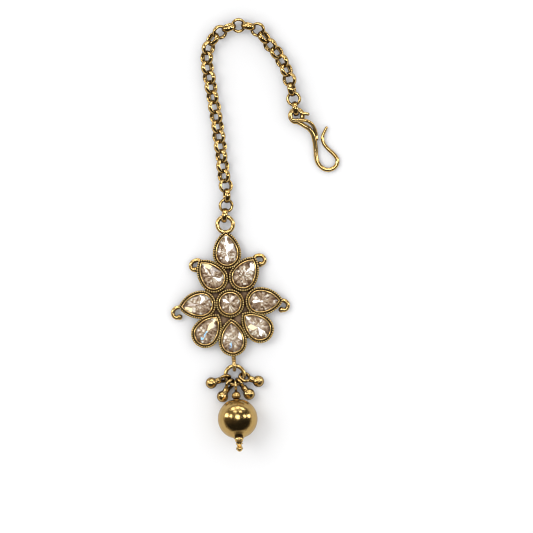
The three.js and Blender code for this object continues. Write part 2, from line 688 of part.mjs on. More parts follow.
// The jump ring lies level through the eye, and each loop stands round its wire.
const drops = new THREE.Group();
const eyeSlack = EYE.radius - EYE.wire - JUMP_RING.wire - LOOP_CLEARANCE;
drops.position.copy(eyeCentre).add(bearing(-90, JUMP_RING.radius + eyeSlack));
flower.add(drops);
mesh(
  "drop_jump_ring",
  solidOf(new THREE.TorusGeometry(JUMP_RING.radius, JUMP_RING.wire, SIDES.wire, SIDES.ball)),
  GOLD,
  drops,
);

const loopSlack = LOOP.radius - LOOP.wire - JUMP_RING.wire - LOOP_CLEARANCE;
for (const row of SMALL_DROPS) {
  const drop = mesh(row.name, smallDrop(row), DARK_GOLD, drops);
  const place = bearing(row.at, JUMP_RING.radius).add(bearing(row.points, loopSlack * row.slack));
  drop.position.copy(place);
  drop.rotation.z = rad(row.points);
}

// The ball rests on the surface, so its pin climbs from the low loop to the ball's centre.
const mainDrop = new THREE.Group();
const mainSlack = MAIN_DROP.loop - PIN_WIRE - JUMP_RING.wire - LOOP_CLEARANCE;
mainDrop.position
  .copy(bearing(MAIN_DROP.at, JUMP_RING.radius))
  .add(bearing(MAIN_DROP.points, mainSlack))
  .setZ(MAIN_DROP.loopRest);
const climb = Math.asin((BALL.radius - EYE_HEIGHT - MAIN_DROP.loopRest) / ballAt);
mainDrop.rotation.set(0, -climb, rad(MAIN_DROP.points), "ZYX");
drops.add(mainDrop);
mesh("head_pin", pinSolid(), GOLD, mainDrop);
mesh("top_bead", drilledBead(TOP_BEAD, topBeadAt), DARK_GOLD, mainDrop);
mesh("ball_bead", ballSolid(), GOLD, mainDrop);
mesh("ball_cap_bead", drilledBead(CAP_BEAD, capBeadAt), DARK_GOLD, mainDrop);

// The origin goes to the middle of the footprint.
tikka.updateMatrixWorld(true);
const bounds = new THREE.Box3().setFromObject(tikka, true);
const footprint = bounds.getCenter(new THREE.Vector3());
tikka.position.set(-footprint.x, -footprint.y, -bounds.min.z);

export default tikka;
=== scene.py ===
# Maang tikka, dressed for its picture: antique gold, champagne stones, a belcher chain and five drops.
# Pieces are modelled in millimetres and settled into the frame, which is in metres.
import json
import math
import random

import bpy
from mathutils import Matrix, Vector
from mathutils.bvhtree import BVHTree

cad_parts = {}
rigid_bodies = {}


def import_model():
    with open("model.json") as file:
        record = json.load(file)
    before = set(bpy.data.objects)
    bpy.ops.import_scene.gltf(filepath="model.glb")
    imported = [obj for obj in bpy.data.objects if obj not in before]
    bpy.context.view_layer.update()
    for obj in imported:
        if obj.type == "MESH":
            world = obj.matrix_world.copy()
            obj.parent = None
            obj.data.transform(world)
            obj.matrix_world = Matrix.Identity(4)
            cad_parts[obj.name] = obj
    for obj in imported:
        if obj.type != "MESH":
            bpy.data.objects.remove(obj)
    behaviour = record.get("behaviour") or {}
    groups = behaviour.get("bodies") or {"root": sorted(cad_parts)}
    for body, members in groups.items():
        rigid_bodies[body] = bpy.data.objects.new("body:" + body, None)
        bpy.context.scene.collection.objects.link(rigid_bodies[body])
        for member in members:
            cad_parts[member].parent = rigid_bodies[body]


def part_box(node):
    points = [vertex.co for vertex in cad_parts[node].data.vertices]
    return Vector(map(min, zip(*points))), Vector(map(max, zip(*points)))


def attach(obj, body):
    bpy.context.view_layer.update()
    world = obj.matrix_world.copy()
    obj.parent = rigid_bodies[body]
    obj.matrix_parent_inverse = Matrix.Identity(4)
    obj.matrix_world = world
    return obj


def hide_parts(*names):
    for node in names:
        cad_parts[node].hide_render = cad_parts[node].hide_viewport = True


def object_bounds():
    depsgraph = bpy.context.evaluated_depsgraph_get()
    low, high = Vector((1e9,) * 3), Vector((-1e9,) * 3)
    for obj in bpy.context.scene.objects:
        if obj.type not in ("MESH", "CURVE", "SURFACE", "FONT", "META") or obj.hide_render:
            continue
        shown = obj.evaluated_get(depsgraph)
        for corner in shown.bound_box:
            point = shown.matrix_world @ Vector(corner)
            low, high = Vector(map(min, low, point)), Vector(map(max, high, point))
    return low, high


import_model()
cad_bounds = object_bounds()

MM = 0.001
IMAGE_SIDE = 533  # of the square picture, in pixels
PIXEL = 0.22  # millimetres of the jewel's plane in one pixel
FLOWER_PIXEL = (230.1, 303.3)  # where the flower's middle lies in the picture
CAMERA_HEIGHT = 2000
SENSOR = 36

# Stones
PEAR = {"length": 7, "width": 5, "crown": 0.75, "girdle": 0.2, "pavilion": 1.3, "heart": 0.5}
ROUND = {"width": 5, "crown": 0.75, "girdle": 0.2, "pavilion": 1.1, "heart": 0}
TABLE_SHARE = 0.62  # of the girdle's size
BREAK_SHARE = 0.5  # size of the ring where the steep and shallow facets meet
BREAK_RISE = 0.62  # its height, as a share of the pavilion
CULET_SHARE = 0.07
STONE_CLEARANCE = 0.06
FACET_TIERS = [
    {"name": "girdle", "count": 24, "turn": 7.5, "out": 1.0, "in": 0.8, "low": 0.0, "high": 0.32},
    {"name": "lower", "count": 12, "turn": 15.0, "out": 1.0, "in": 0.5, "low": 0.03, "high": 0.64},
    {"name": "upper", "count": 12, "turn": 0.0, "out": 0.5, "in": 0.07, "low": 0.60, "high": 1.0},
]
CROWN_FACETS = 8

# Bezel cups
PLATE_THICKNESS = 0.8
LIP_OVER_GIRDLE = 0.25
LIP_HEIGHT = 0.3
LIP_SLOPE = 0.08
LIP_ABOVE_BORDER = 0.17
CHANNEL_WIDTH = 0.15
CHANNEL_DEPTH = 0.26
BORDER_WIDTH = 0.45
CUP_EDGE = CHANNEL_WIDTH + BORDER_WIDTH
SOLDER_DEPTH = 0.3
WEB_BULGE = 0.7

# Milgrain on the cups' borders
GRAIN_PITCH = 0.5
GRAIN = {"along": 0.2, "across": 0.27, "up": 0.27}
GRAIN_OUT = 0.03  # of the beads' row from the border's middle
BED_DEPTH = 0.3  # of the bed that the beads stand on, under the border's top
GRAIN_LINE_PARTS = {"arc_parts": 120, "flank_parts": 60}

# Flower
LEAN = 3.5
PETALS = [
    {"name": "upper_left", "bearing": 29.6, "tip_out": True, "turn": 6.6, "gap": 0.33},
    {"name": "upper_right", "bearing": -29.8, "tip_out": True, "turn": -4.4, "gap": 0.25},
    {"name": "left", "bearing": 89, "tip_out": True, "turn": 4.3, "gap": 0.05},
    {"name": "right", "bearing": -89.5, "tip_out": True, "turn": -2, "gap": 0.33},
    {"name": "lower_left", "bearing": 131, "tip_out": False, "turn": 10.8, "gap": 0.4},
    {"name": "lower_right", "bearing": -132, "tip_out": False, "turn": -3.9, "gap": 0.35},
    {"name": "bottom", "bearing": 180, "tip_out": False, "turn": 0.8, "gap": 0.25},
]
TOP_OVERLAP = 0.15

# Scrolls
SCROLLS = [
    {"petal": "upper_left", "side": 1, "bearing": 105, "reach": 1.66, "turn": 240, "end": 0.75},
    {"petal": "upper_right", "side": -1, "bearing": 92, "reach": 1.46, "turn": 244, "end": 0.85},
    {"petal": "left", "side": 1, "bearing": 75, "reach": 1.35, "turn": 221, "end": 0.95},
    {"petal": "right", "side": -1, "bearing": 92, "reach": 1.15, "turn": 205, "end": 1.0},
]
SCROLL_WIRE = 0.47
SCROLL_BALL = 0.64
SCROLL_TIGHTENS = 4

# Chain ring, stem and eye on the flower
TOP_RING = {"radius": 1.72, "wire": 0.46}
STEM = {"radius": 0.5, "length": 0.8}
STEM_FOOT = {"radius": 0.9, "height": 0.3}  # shares of the stem's radius and length
STEM_COLLARS = {"at": (0.42, 0.62, 0.82), "half": 0.03, "rise": 0.09, "waist": 0.8}  # shares too
EYE = {"radius": 0.9, "wire": 0.42}

# Belcher chain
LINK = {"outer": 1.68, "thickness": 0.56, "width": 1.1, "sides": 10}
LINK_FULLER = 0.09  # of the shown band, on its inner side and its width
LINK_BITE = 0.05
RING_SLACK = 0.35
HOOK_SLACK = 0.3
FLOOR_GAP = 0.06
ROUTE_STEPS = 4000
CHAIN_ROUTE = [
    {"x": 0, "y": 0, "roll": 0},
    {"x": 0.48, "y": 4.4, "roll": 10},
    {"x": -0.15, "y": 8.69, "roll": 45},
    {"x": -0.73, "y": 13.31, "roll": 38},
    {"x": -1.3, "y": 17.71, "roll": 50},
    {"x": -1.91, "y": 21.89, "roll": 45},
    {"x": -2.66, "y": 26.07, "roll": 40},
    {"x": -3.32, "y": 30.03, "roll": 48},
    {"x": -3.94, "y": 34.1, "roll": 45},
    {"x": -3.15, "y": 37.95, "roll": 40},
    {"x": -0.42, "y": 40.7, "roll": 20},
    {"x": 3.19, "y": 41.78, "roll": 8},
    {"x": 7.15, "y": 40.94, "roll": 15},
    {"x": 9.39, "y": 38.17, "roll": 40},
    {"x": 11.86, "y": 35.22, "roll": 48},
    {"x": 13.84, "y": 31.24, "roll": 40},
    {"x": 14.96, "y": 26.66, "roll": 8},
    {"x": 15.4, "y": 24.4, "roll": 0},
    {"x": 15.7, "y": 22.2, "roll": 0},
]

# Hook, drawn from its eye's centre
HOOK_WIRE = 0.55
HOOK_TIP = 0.3
HOOK_TAPER = 4
WRAP_WIRE = 0.37
HOOK_EYE = 1.35
WRAP_EYE = 1.2
WRAP_SOLDER = 0.08
EYE_TURN = {"from": -80, "to": -380, "step": 30}
WRAP_TURN = {"from": -135, "to": -330, "step": 32}
RISING_POINTS = 6
HOOK_LINE = [
    (6.6, -2.6), (6.12, -3.52), (5.81, -4.29), (5.74, -5.17), (6.05, -6.16),
    (6.78, -7.11), (8.3, -8.55), (8.95, -9.57), (8.91, -10.56), (8.29, -11.4),
    (7.3, -11.84), (6.31, -11.77), (5.32, -11.15), (4.66, -10.23), (4.33, -9.02),
    (4.18, -6.9), (3.9, -5.2), (3.5, -3.9), (2.8, -2.9), (1.8, -2.25),
]
WRAP_LINE = [(4.45, -5.1), (4.35, -4.2), (4.0, -2.9), (3.3, -1.75), (2.2, -1.1), (1.0, -0.95)]
WRAP_STUB = (2.5, 0.35)

# Jump ring and drops
JUMP_RING = {"radius": 2.05, "wire": 0.42}
LOOP = {"radius": 1.08, "wire": 0.38}
SMALL_DROP = {"ball": 1.28, "neck": 0.4, "neck_wide": 0.66, "neck_thin": 0.7, "neck_sink": 0.38}
LOOP_CLEARANCE = 0.05
SMALL_DROPS = [
    {"name": "small_drop_left", "at": 195, "points": 195, "tilt": 28, "slack": 1},
    {"name": "small_drop_right", "at": -15, "points": -20, "tilt": 46, "slack": 0.75},
    {"name": "small_drop_lower_left", "at": -122, "points": -124, "tilt": 30, "slack": 1},
    {"name": "small_drop_lower_right", "at": -59.5, "points": -54.5, "tilt": -10, "slack": 0.1},
]
MAIN_DROP = {"at": -89, "points": -89.8, "loop": 1.04, "loop_rest": 0.04}
BALL = {"radius": 4.4, "hole": 0.46, "shoulder": 3.6, "mouth": 1.15, "mouth_at": 4.5}
BALL_NECK = [{"along": 0.4, "narrowed": 0.5}, {"along": 0.75, "narrowed": 0.88}]
TOP_BEAD = 0.98
CAP_BEAD = 0.93
CAP_SEAT = 0.6
TIP_BEAD = 0.67
TIP_NECK = 0.62
COLLAR = {"wide": 0.78, "thin": 0.5}
PIN_WIRE = 0.3
STACK_GAP = 0.06

# Softness, lumps and fineness of the pieces
INSET = 0.03  # taken off the round forms that reach furthest, to stay inside the part's box
SOFT_EDGE = 0.03  # bevel of the cups and the stem
BOW_STEPS = 12  # of the plate's edge from petal to petal
PLATE_GRAIN = 0.22  # size of the faces of what is cast as one
SCROLL_GRAIN = 0.06
SCROLL_STEPS = 10
DROP_GRAIN = 0.07
DROP_BALL_SHARE = 0.99  # left of a small drop's ball, which its lumps make fuller again
DROP_LUMPS = {"strength": 0.07, "size": 0.6, "size_step": 0.1}
CAP_LUMPS = {"strength": 0.04, "size": 0.7}
WIRE_SIDES = 16
WIRE_END_ANGLES = (25, 50, 72, 88)  # of the rows of a wire's round end
NECK_STEPS = 6  # of the ball's neck between two knots
COLLAR_STEPS = 12


def bearing(angle, reach=1.0):
    return Vector((reach * math.cos(math.radians(angle)), reach * math.sin(math.radians(angle)), 0))


def between(low, high, share):
    return low + (high - low) * share


def smooth_step(value, low, high):
    share = min(max((value - low) / (high - low), 0), 1)
    return share * share * (3 - 2 * share)


def turn_about(axis, angle):
    return Matrix.Rotation(math.radians(angle), 4, axis)


# The tikka's own frame, in which the flower's middle is the origin and its back plate lies on z = 0
stone_low, stone_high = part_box("stone_centre")
flower_middle = (stone_low + stone_high) / 2 / MM
plate_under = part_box("setting")[0].z / MM
TIKKA = Matrix.Translation((flower_middle.x, flower_middle.y, plate_under))
FLOWER = TIKKA @ turn_about("Z", LEAN)


# Working with pieces

def start_piece():
    if bpy.context.object and bpy.context.object.mode != "OBJECT":
        bpy.ops.object.mode_set(mode="OBJECT")
    bpy.ops.object.select_all(action="DESELECT")


def pick(*pieces):
    start_piece()
    for piece in pieces:
        piece.select_set(True)
    bpy.context.view_layer.objects.active = pieces[0]


def to_edit():
    bpy.ops.object.mode_set(mode="EDIT")


def to_object():
    bpy.ops.object.mode_set(mode="OBJECT")


def bake_place(piece, matrix=None):
    """Moves a piece's place into its mesh, after one more matrix."""
    bpy.context.view_layer.update()
    place = piece.matrix_world.copy()
    piece.data.transform((matrix or Matrix()) @ place)
    piece.matrix_world = Matrix()
    piece.data.update()


def modify(piece, kind, **settings):
    """Adds a modifier to a piece and applies it."""
    pick(piece)
    modifier = piece.modifiers.new(kind.lower(), kind)
    for name, value in settings.items():
        setattr(modifier, name, value)
    bpy.ops.object.modifier_apply(modifier=modifier.name)
    return piece


def joined(pieces):
    pick(*pieces)
    bpy.ops.object.join()
    return bpy.context.object


def copied(piece, matrix=None):
    twin = piece.copy()
    twin.data = piece.data.copy()
    bpy.context.scene.collection.objects.link(twin)
    if matrix is not None:
        twin.matrix_world = matrix @ piece.matrix_world
    return twin


def along_places(piece, matrices):
    """One piece repeated at many places, as one mesh."""
    copies = [copied(piece, matrix) for matrix in matrices]
    bpy.data.objects.remove(piece)
    whole = joined(copies)
    bake_place(whole)
    return whole


def smooth_by_angle(piece, angle):
    pick(piece)
    bpy.ops.object.shade_smooth_by_angle(angle=math.radians(angle))
    return piece


def smooth_all(piece):
    pick(piece)
    bpy.ops.object.shade_smooth()
    return piece


def outline_face(points, height):
    """A flat face with the given outline, that looks up."""
    start_piece()
    bpy.ops.mesh.primitive_circle_add(vertices=len(points), radius=1, fill_type="NGON")
    piece = bpy.context.object
    for vertex, point in zip(piece.data.vertices, points):
        vertex.co = (point.x, point.y, height)
    piece.data.update()
    if piece.data.polygons[0].normal.z < 0:
        to_edit()
        bpy.ops.mesh.select_all(action="SELECT")
        bpy.ops.mesh.flip_normals()
        to_object()
    return piece


def raised(outline, stone, rows):
    """A solid raised from its lowest outline row by row. A row is an offset from the stone and a height."""
    line = outline(stone, rows[0][0])
    piece = outline_face(line, rows[0][1])
    for offset, height in rows[1:]:
        to_edit()
        bpy.ops.mesh.extrude_region_move(TRANSFORM_OT_translate={"value": (0, 0, 0)})
        to_object()
        face = next(face for face in piece.data.polygons if face.select)
        after = outline(stone, offset)
        for index in face.vertices:
            vertex = piece.data.vertices[index]
            nearest = min(range(len(line)), key=lambda n: (line[n].xy - vertex.co.xy).length_squared)
            vertex.co = (after[nearest].x, after[nearest].y, height)
        line = after
    piece.data.update()
    return piece


def turned(profile, steps):
    """A round form from its half outline, given as radius and height, spun about Z."""
    start_piece()
    bpy.ops.mesh.primitive_circle_add(vertices=len(profile), radius=1, fill_type="NOTHING")
    piece = bpy.context.object
    for vertex, (radius, height) in zip(piece.data.vertices, profile):
        vertex.co = (radius, 0, height)
    ends = {0, len(profile) - 1}
    to_edit()
    bpy.ops.mesh.select_all(action="DESELECT")
    to_object()
    for edge in piece.data.edges:
        edge.select = set(edge.vertices) == ends
    to_edit()
    bpy.ops.mesh.select_mode(type="EDGE")
    bpy.ops.mesh.delete(type="EDGE")
    bpy.ops.mesh.select_mode(type="VERT")
    bpy.ops.mesh.select_all(action="SELECT")
    bpy.ops.mesh.spin(steps=steps, angle=2 * math.pi, center=(0, 0, 0), axis=(0, 0, 1))
    bpy.ops.mesh.select_all(action="SELECT")
    bpy.ops.mesh.remove_doubles(threshold=0.002)
    bpy.ops.mesh.normals_make_consistent(inside=False)
    to_object()
    return piece


def ball(radius, place=(0, 0, 0), segments=24):
    start_piece()
    bpy.ops.mesh.primitive_uv_sphere_add(
        segments=segments, ring_count=segments // 2, radius=radius, location=place
    )
    return bpy.context.object


def ring(radius, wire, around=48, section=14):
    start_piece()
    bpy.ops.mesh.primitive_torus_add(
        major_radius=radius, minor_radius=wire, major_segments=around, minor_segments=section
    )
    return bpy.context.object


def catmull(points, share):
    """A point of the smooth line through points, whose knots follow the roots of their distances."""
    last = len(points) - 1
    place = share * last
    low = min(int(place), last - 1)
    weight = place - low
    p1, p2 = points[low], points[low + 1]
    p0 = points[low - 1] if low > 0 else 2 * p1 - p2
    p3 = points[low + 2] if low + 2 <= last else 2 * p2 - p1
    d0, d1, d2 = ((b - a).length ** 0.5 for a, b in ((p0, p1), (p1, p2), (p2, p3)))
    out = ((p1 - p0) / d0 - (p2 - p0) / (d0 + d1) + (p2 - p1) / d1) * d1
    into = ((p2 - p1) / d1 - (p3 - p1) / (d1 + d2) + (p3 - p2) / d2) * d1
    square = -3 * p1 + 3 * p2 - 2 * out - into
    cube = 2 * p1 - 2 * p2 + out + into
    return p1 + out * weight + square * weight**2 + cube * weight**3


def wire(points, start_radius, end_radius, steps, taper=1):
    """A round wire through points with rounded ends. Its radius may change, late with a high taper."""
    line = [catmull(points, n / steps) for n in range(steps + 1)]
    radii = [between(start_radius, end_radius, (n / steps) ** taper) for n in range(steps + 1)]
    first = (line[0] - line[1]).normalized()
    final = (line[-1] - line[-2]).normalized()
    for angle in WIRE_END_ANGLES:
        out = math.sin(math.radians(angle))
        narrowed = math.cos(math.radians(angle))
        line.insert(0, catmull(points, 0) + first * start_radius * out)
        radii.insert(0, start_radius * narrowed)
        line.append(catmull(points, 1) + final * end_radius * out)
        radii.append(end_radius * narrowed)
    start_piece()
    bpy.ops.curve.primitive_nurbs_path_add()
    piece = bpy.context.object
    curve = piece.data
    curve.splines.clear()
    spline = curve.splines.new("POLY")
    spline.points.add(len(line) - 1)
    for knot, place, radius in zip(spline.points, line, radii):
        knot.co = (*place, 1)
        knot.radius = radius
    curve.bevel_depth = 1
    curve.bevel_resolution = (WIRE_SIDES - 4) // 2
    curve.use_fill_caps = True
    bpy.ops.object.convert(target="MESH")
    piece = bpy.context.object
    piece.location = (0, 0, 0)
    bake_place(piece)
    return smooth_all(piece)


def evened(piece, grain):
    """A piece's shape in small even faces, with softened seams."""
    modify(piece, "REMESH", mode="VOXEL", voxel_size=grain)
    modify(piece, "SMOOTH", factor=0.5, iterations=2)
    return smooth_all(piece)


def melted(pieces, grain):
    """Pieces cast as one."""
    whole = joined(pieces)
    bake_place(whole)
    return evened(whole, grain)


def lumpy(piece, strength, size):
    """Slight lumps, as left by casting."""
    clouds = bpy.data.textures.new("casting_lumps", "CLOUDS")
    clouds.noise_scale = size
    settings = {"strength": strength, "mid_level": 0.5, "texture_coords": "LOCAL"}
    return modify(piece, "DISPLACE", texture=clouds, **settings)


metal_pieces = []


def settle(piece, name, matrix, material, slot, node):
    """Puts a finished piece into the frame, names it and gives it its finish."""
    bake_place(piece, Matrix.Scale(MM, 4) @ matrix)
    piece.name = name
    piece.data.name = name
    piece.data.materials.clear()
    piece.data.materials.append(material)
    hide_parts(node)
    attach(piece, "root")
    if slot != "champagne_stone":
        metal_pieces.append(piece)
    return piece


# Outlines of the stones

def arc(x, radius, start, end, parts):
    angles = [between(start, end, n / parts) for n in range(parts)]
    return [Vector((x + radius * math.cos(a), radius * math.sin(a), 0)) for a in angles]


def pear_plan(stone, offset):
    round_radius = stone["width"] / 2
    tip = stone["length"] - round_radius
    flank_radius = (round_radius**2 + tip**2) / (2 * round_radius)
    flank_centre = flank_radius - round_radius
    tip_angle = math.acos(flank_centre / (flank_radius + offset))
    return round_radius, flank_radius, flank_centre, tip_angle


def pear_outline(stone, offset, arc_parts=36, flank_parts=18):
    round_radius, flank_radius, flank_centre, tip_angle = pear_plan(stone, offset)
    flank = flank_radius + offset
    return (
        arc(-flank_centre, flank, 0, tip_angle, flank_parts)
        + arc(flank_centre, flank, math.pi - tip_angle, math.pi, flank_parts)
        + arc(0, round_radius + offset, math.pi, 2 * math.pi, arc_parts)
    )


def round_outline(stone, offset, arc_parts=36, flank_parts=18):
    return arc(0, stone["width"] / 2 + offset, 0, 2 * math.pi, arc_parts + 2 * flank_parts)


def cup_tip(stone):
    _, flank_radius, _, tip_angle = pear_plan(stone, CUP_EDGE)
    return (flank_radius + CUP_EDGE) * math.sin(tip_angle)


def cup_levels(stone):
    table = PLATE_THICKNESS + STONE_CLEARANCE
    girdle = table + stone["crown"]
    girdle_top = girdle + stone["girdle"]
    slope = stone["pavilion"] * BREAK_RISE / ((1 - BREAK_SHARE) * stone["width"] / 2)
    lip_under = girdle_top + 2 * STONE_CLEARANCE + LIP_OVER_GIRDLE * slope
    lip_top = lip_under + LIP_HEIGHT
    return {
        "table": table,
        "girdle": girdle,
        "girdle_top": girdle_top,
        "culet": girdle_top + stone["pavilion"],
        "lip_under": lip_under,
        "lip_top": lip_top,
        "border": lip_top - LIP_ABOVE_BORDER,
    }


# Where the petals lie, in the flower's frame
round_edge = ROUND["width"] / 2 + CUP_EDGE
pear_edge = PEAR["width"] / 2 + CUP_EDGE


def petal_places():
    places = {}
    for petal in PETALS:
        line = petal["bearing"] + 90
        if petal["tip_out"]:
            centre = bearing(line, round_edge + petal["gap"] + pear_edge)
            tip_line = line + petal["turn"]
        else:
            tip_line = line + 180 + petal["turn"]
            centre = bearing(line, round_edge + petal["gap"]) - bearing(tip_line, cup_tip(PEAR))
        places[petal["name"]] = {"centre": centre, "tip_line": tip_line}
    left, right = places["upper_left"]["centre"], places["upper_right"]["centre"]
    rise = math.sqrt((2 * pear_edge - TOP_OVERLAP) ** 2 - ((left - right).length / 2) ** 2)
    places["top"] = {"centre": (left + right) / 2 + bearing(90, rise), "tip_line": 90}
    return places


petals = petal_places()


def tip_of(petal):
    return petal["centre"] + bearing(petal["tip_line"], cup_tip(PEAR))


def petal_matrix(petal):
    return FLOWER @ Matrix.Translation(petal["centre"]) @ turn_about("Z", petal["tip_line"] - 90)


# Bezel cups

def cup_body(stone, outline):
    """A cup raised from its outline: wall, border bed, channel and lip, with the stone's room cut out."""
    level = cup_levels(stone)
    bed = level["border"] - BED_DEPTH
    lip = level["lip_top"]
    piece = raised(outline, stone, [
        (CUP_EDGE, 0),
        (CUP_EDGE, bed),
        (CHANNEL_WIDTH + BORDER_WIDTH / 2, bed + LIP_SLOPE),
        (CHANNEL_WIDTH, bed),
        (CHANNEL_WIDTH / 2, level["border"] - CHANNEL_DEPTH - LIP_SLOPE),
        (0, lip - LIP_SLOPE),
        (-LIP_OVER_GIRDLE / 2, lip),
        (-LIP_OVER_GIRDLE, lip - LIP_SLOPE / 2),
    ])
    room = raised(outline, stone, [
        (STONE_CLEARANCE, PLATE_THICKNESS),
        (STONE_CLEARANCE, level["girdle_top"] + STONE_CLEARANCE),
        (-LIP_OVER_GIRDLE, level["lip_under"]),
        (-LIP_OVER_GIRDLE, level["culet"] + stone["pavilion"]),
    ])
    modify(piece, "BOOLEAN", operation="DIFFERENCE", solver="EXACT", object=room)
    bpy.data.objects.remove(room)
    corners = {"limit_method": "ANGLE", "angle_limit": math.radians(30)}
    modify(piece, "BEVEL", width=SOFT_EDGE, segments=2, **corners)
    return smooth_by_angle(piece, 45)


def milgrain(stone, outline):
    """The beaded border: small beads side by side on the middle of the border bed."""
    level = cup_levels(stone)
    line = outline(stone, CUP_EDGE - BORDER_WIDTH / 2 + GRAIN_OUT, **GRAIN_LINE_PARTS)
    lengths = [(b - a).length for a, b in zip(line, line[1:] + line[:1])]
    count = round(sum(lengths) / GRAIN_PITCH)
    pitch = sum(lengths) / count
    height = level["border"] - GRAIN["up"]
    places = []
    walked = 0.0
    step = 0
    for n in range(count):
        while walked + lengths[step] < n * pitch:
            walked += lengths[step]
            step += 1
        start = line[step]
        end = line[(step + 1) % len(line)]
        spot = start.lerp(end, (n * pitch - walked) / lengths[step])
        turn = math.atan2(end.y - start.y, end.x - start.x)
        places.append(Matrix.Translation((spot.x, spot.y, height)) @ Matrix.Rotation(turn, 4, "Z"))
    bead = ball(1, segments=10)
    bead.scale = (GRAIN["along"], GRAIN["across"], GRAIN["up"])
    bake_place(bead)
    return smooth_all(along_places(bead, places))


def cut_stone(stone, outline):
    """A stone cut from a block by planes, tier by tier, as a lapidary does. Its table faces down."""
    level = cup_levels(stone)
    heart = Vector((0, stone["heart"], 0))
    points = outline(stone, 0)
    piece = raised(outline, stone, [(0, level["table"]), (0, level["culet"])])
    to_edit()

    def cut(angle, out, into, low, high):
        line = bearing(angle)
        reach = max((point - heart).dot(line) for point in points)
        normal = Vector((line.x * abs(high - low), line.y * abs(high - low), 0))
        normal.z = (out - into) * reach * (1 if high > low else -1)
        place = heart + line * reach * out
        bpy.ops.mesh.select_all(action="SELECT")
        bpy.ops.mesh.bisect(
            plane_co=(place.x, place.y, low),
            plane_no=normal.normalized(),
            use_fill=True,
            clear_outer=True,
            threshold=0.00001,
        )

    for tier in FACET_TIERS:
        low = level["girdle_top"] + tier["low"] * stone["pavilion"]
        high = level["girdle_top"] + tier["high"] * stone["pavilion"]
        for n in range(tier["count"]):
            angle = 90 + tier["turn"] + 360 * n / tier["count"]
            cut(angle, tier["out"], tier["in"], low, high)
    for n in range(CROWN_FACETS):
        cut(90 + 360 * n / CROWN_FACETS, 1, TABLE_SHARE, level["girdle"], level["table"])
    bpy.ops.mesh.select_all(action="SELECT")
    bpy.ops.mesh.dissolve_limited(angle_limit=math.radians(0.5))
    bpy.ops.mesh.normals_make_consistent(inside=False)
    to_object()
    return piece


# Finishes

def add(tree, kind, inputs=None, **settings):
    """A node with its settings, and with its sockets set or fed."""
    node = tree.nodes.new(kind)
    for name, value in settings.items():
        setattr(node, name, value)
    for name, value in (inputs or {}).items():
        if isinstance(value, bpy.types.NodeSocket):
            tree.links.new(value, node.inputs[name])
        else:
            node.inputs[name].default_value = value
    return node


def group_tree(name, inputs, outputs):
    """A node group with named sockets, and its two end nodes."""
    tree = bpy.data.node_groups.new(name, "ShaderNodeTree")
    for socket, kind in inputs.items():
        tree.interface.new_socket(socket, in_out="INPUT", socket_type=kind)
    for socket, kind in outputs.items():
        tree.interface.new_socket(socket, in_out="OUTPUT", socket_type=kind)
    return tree, tree.nodes.new("NodeGroupInput"), tree.nodes.new("NodeGroupOutput")


def ramp(tree, value, stops):
    """A ramp of greys or colours, given as places and colours."""
    node = add(tree, "ShaderNodeValToRGB", {"Fac": value})
    band = node.color_ramp.elements
    while len(band) < len(stops):
        band.new(0.5)
    for element, (place, colour) in zip(band, stops):
        element.position = place
        element.color = (*colour, 1)
    return node.outputs["Color"]


def mix(tree, share, first, second):
    node = add(tree, "ShaderNodeMix", {0: share}, data_type="RGBA")
    for socket, value in ((node.inputs[6], first), (node.inputs[7], second)):
        if isinstance(value, bpy.types.NodeSocket):
            tree.links.new(value, socket)
        else:
            socket.default_value = (*value, 1)
    return node.outputs[2]


def noise(tree, place, size, detail=3, roughness=0.55):
    """Noise whose lumps are about the given size in millimetres."""
    settings = {"Vector": place, "Scale": 1 / (size * MM), "Detail": detail, "Roughness": roughness}
    return add(tree, "ShaderNodeTexNoise", settings).outputs["Fac"]


def calc(tree, operation, first, second=0.0):
    return add(tree, "ShaderNodeMath", {0: first, 1: second}, operation=operation).outputs[0]


def spread_out(tree, value, low, high, top=1.0):
    """The value's stretch from low to high, spread out from nothing to the top."""
    limits = {"Value": value, "From Min": low, "From Max": high, "To Max": top}
    return add(tree, "ShaderNodeMapRange", limits).outputs["Result"]


def attribute(tree, name, output="Fac"):
    return add(tree, "ShaderNodeAttribute", attribute_name=name).outputs[output]


def make_tarnish_and_shade_group():
    """Dark patina with painted shade where a surface is shut in, with a ragged edge, and patches of warmer
    tone.
    """
    tree, into, out = group_tree(
        "tarnish_and_shade",
        {"Shade And Tarnish": "NodeSocketFloat", "Spread": "NodeSocketFloat"},
        {"Dark": "NodeSocketFloat", "Patches": "NodeSocketFloat"},
    )
    place = add(tree, "ShaderNodeTexCoord").outputs["Object"]
    ragged = calc(tree, "SUBTRACT", noise(tree, place, 0.35, 4), 0.5)
    reach = calc(tree, "ADD", into.outputs["Shade And Tarnish"], calc(tree, "MULTIPLY", ragged, 0.3))
    reach = calc(tree, "ADD", reach, into.outputs["Spread"])
    tree.links.new(spread_out(tree, reach, 0.14, 0.5), out.inputs["Dark"])
    tree.links.new(spread_out(tree, noise(tree, place, 1.6, 2), 0.42, 0.66), out.inputs["Patches"])
    return tree


def make_casting_group():
    """The fine unevenness of cast and tumbled metal, as a height and as a change of gloss."""
    tree, into, out = group_tree(
        "casting",
        {"Lump Scale": "NodeSocketFloat"},
        {"Height": "NodeSocketFloat", "Dulling": "NodeSocketFloat"},
    )
    place = add(tree, "ShaderNodeTexCoord").outputs["Object"]
    wide_settings = {"Vector": place, "Scale": into.outputs["Lump Scale"], "Detail": 2.0}
    wide = add(tree, "ShaderNodeTexNoise", wide_settings).outputs["Fac"]
    fine = noise(tree, place, 0.11, 4, 0.6)
    height = calc(tree, "ADD", wide, calc(tree, "MULTIPLY", fine, 0.22))
    scuffs = spread_out(tree, noise(tree, place, 0.22, 5, 0.7), 0.45, 0.75)
    tree.links.new(height, out.inputs["Height"])
    tree.links.new(scuffs, out.inputs["Dulling"])
    return tree


tarnish_and_shade_group = make_tarnish_and_shade_group()
casting_group = make_casting_group()


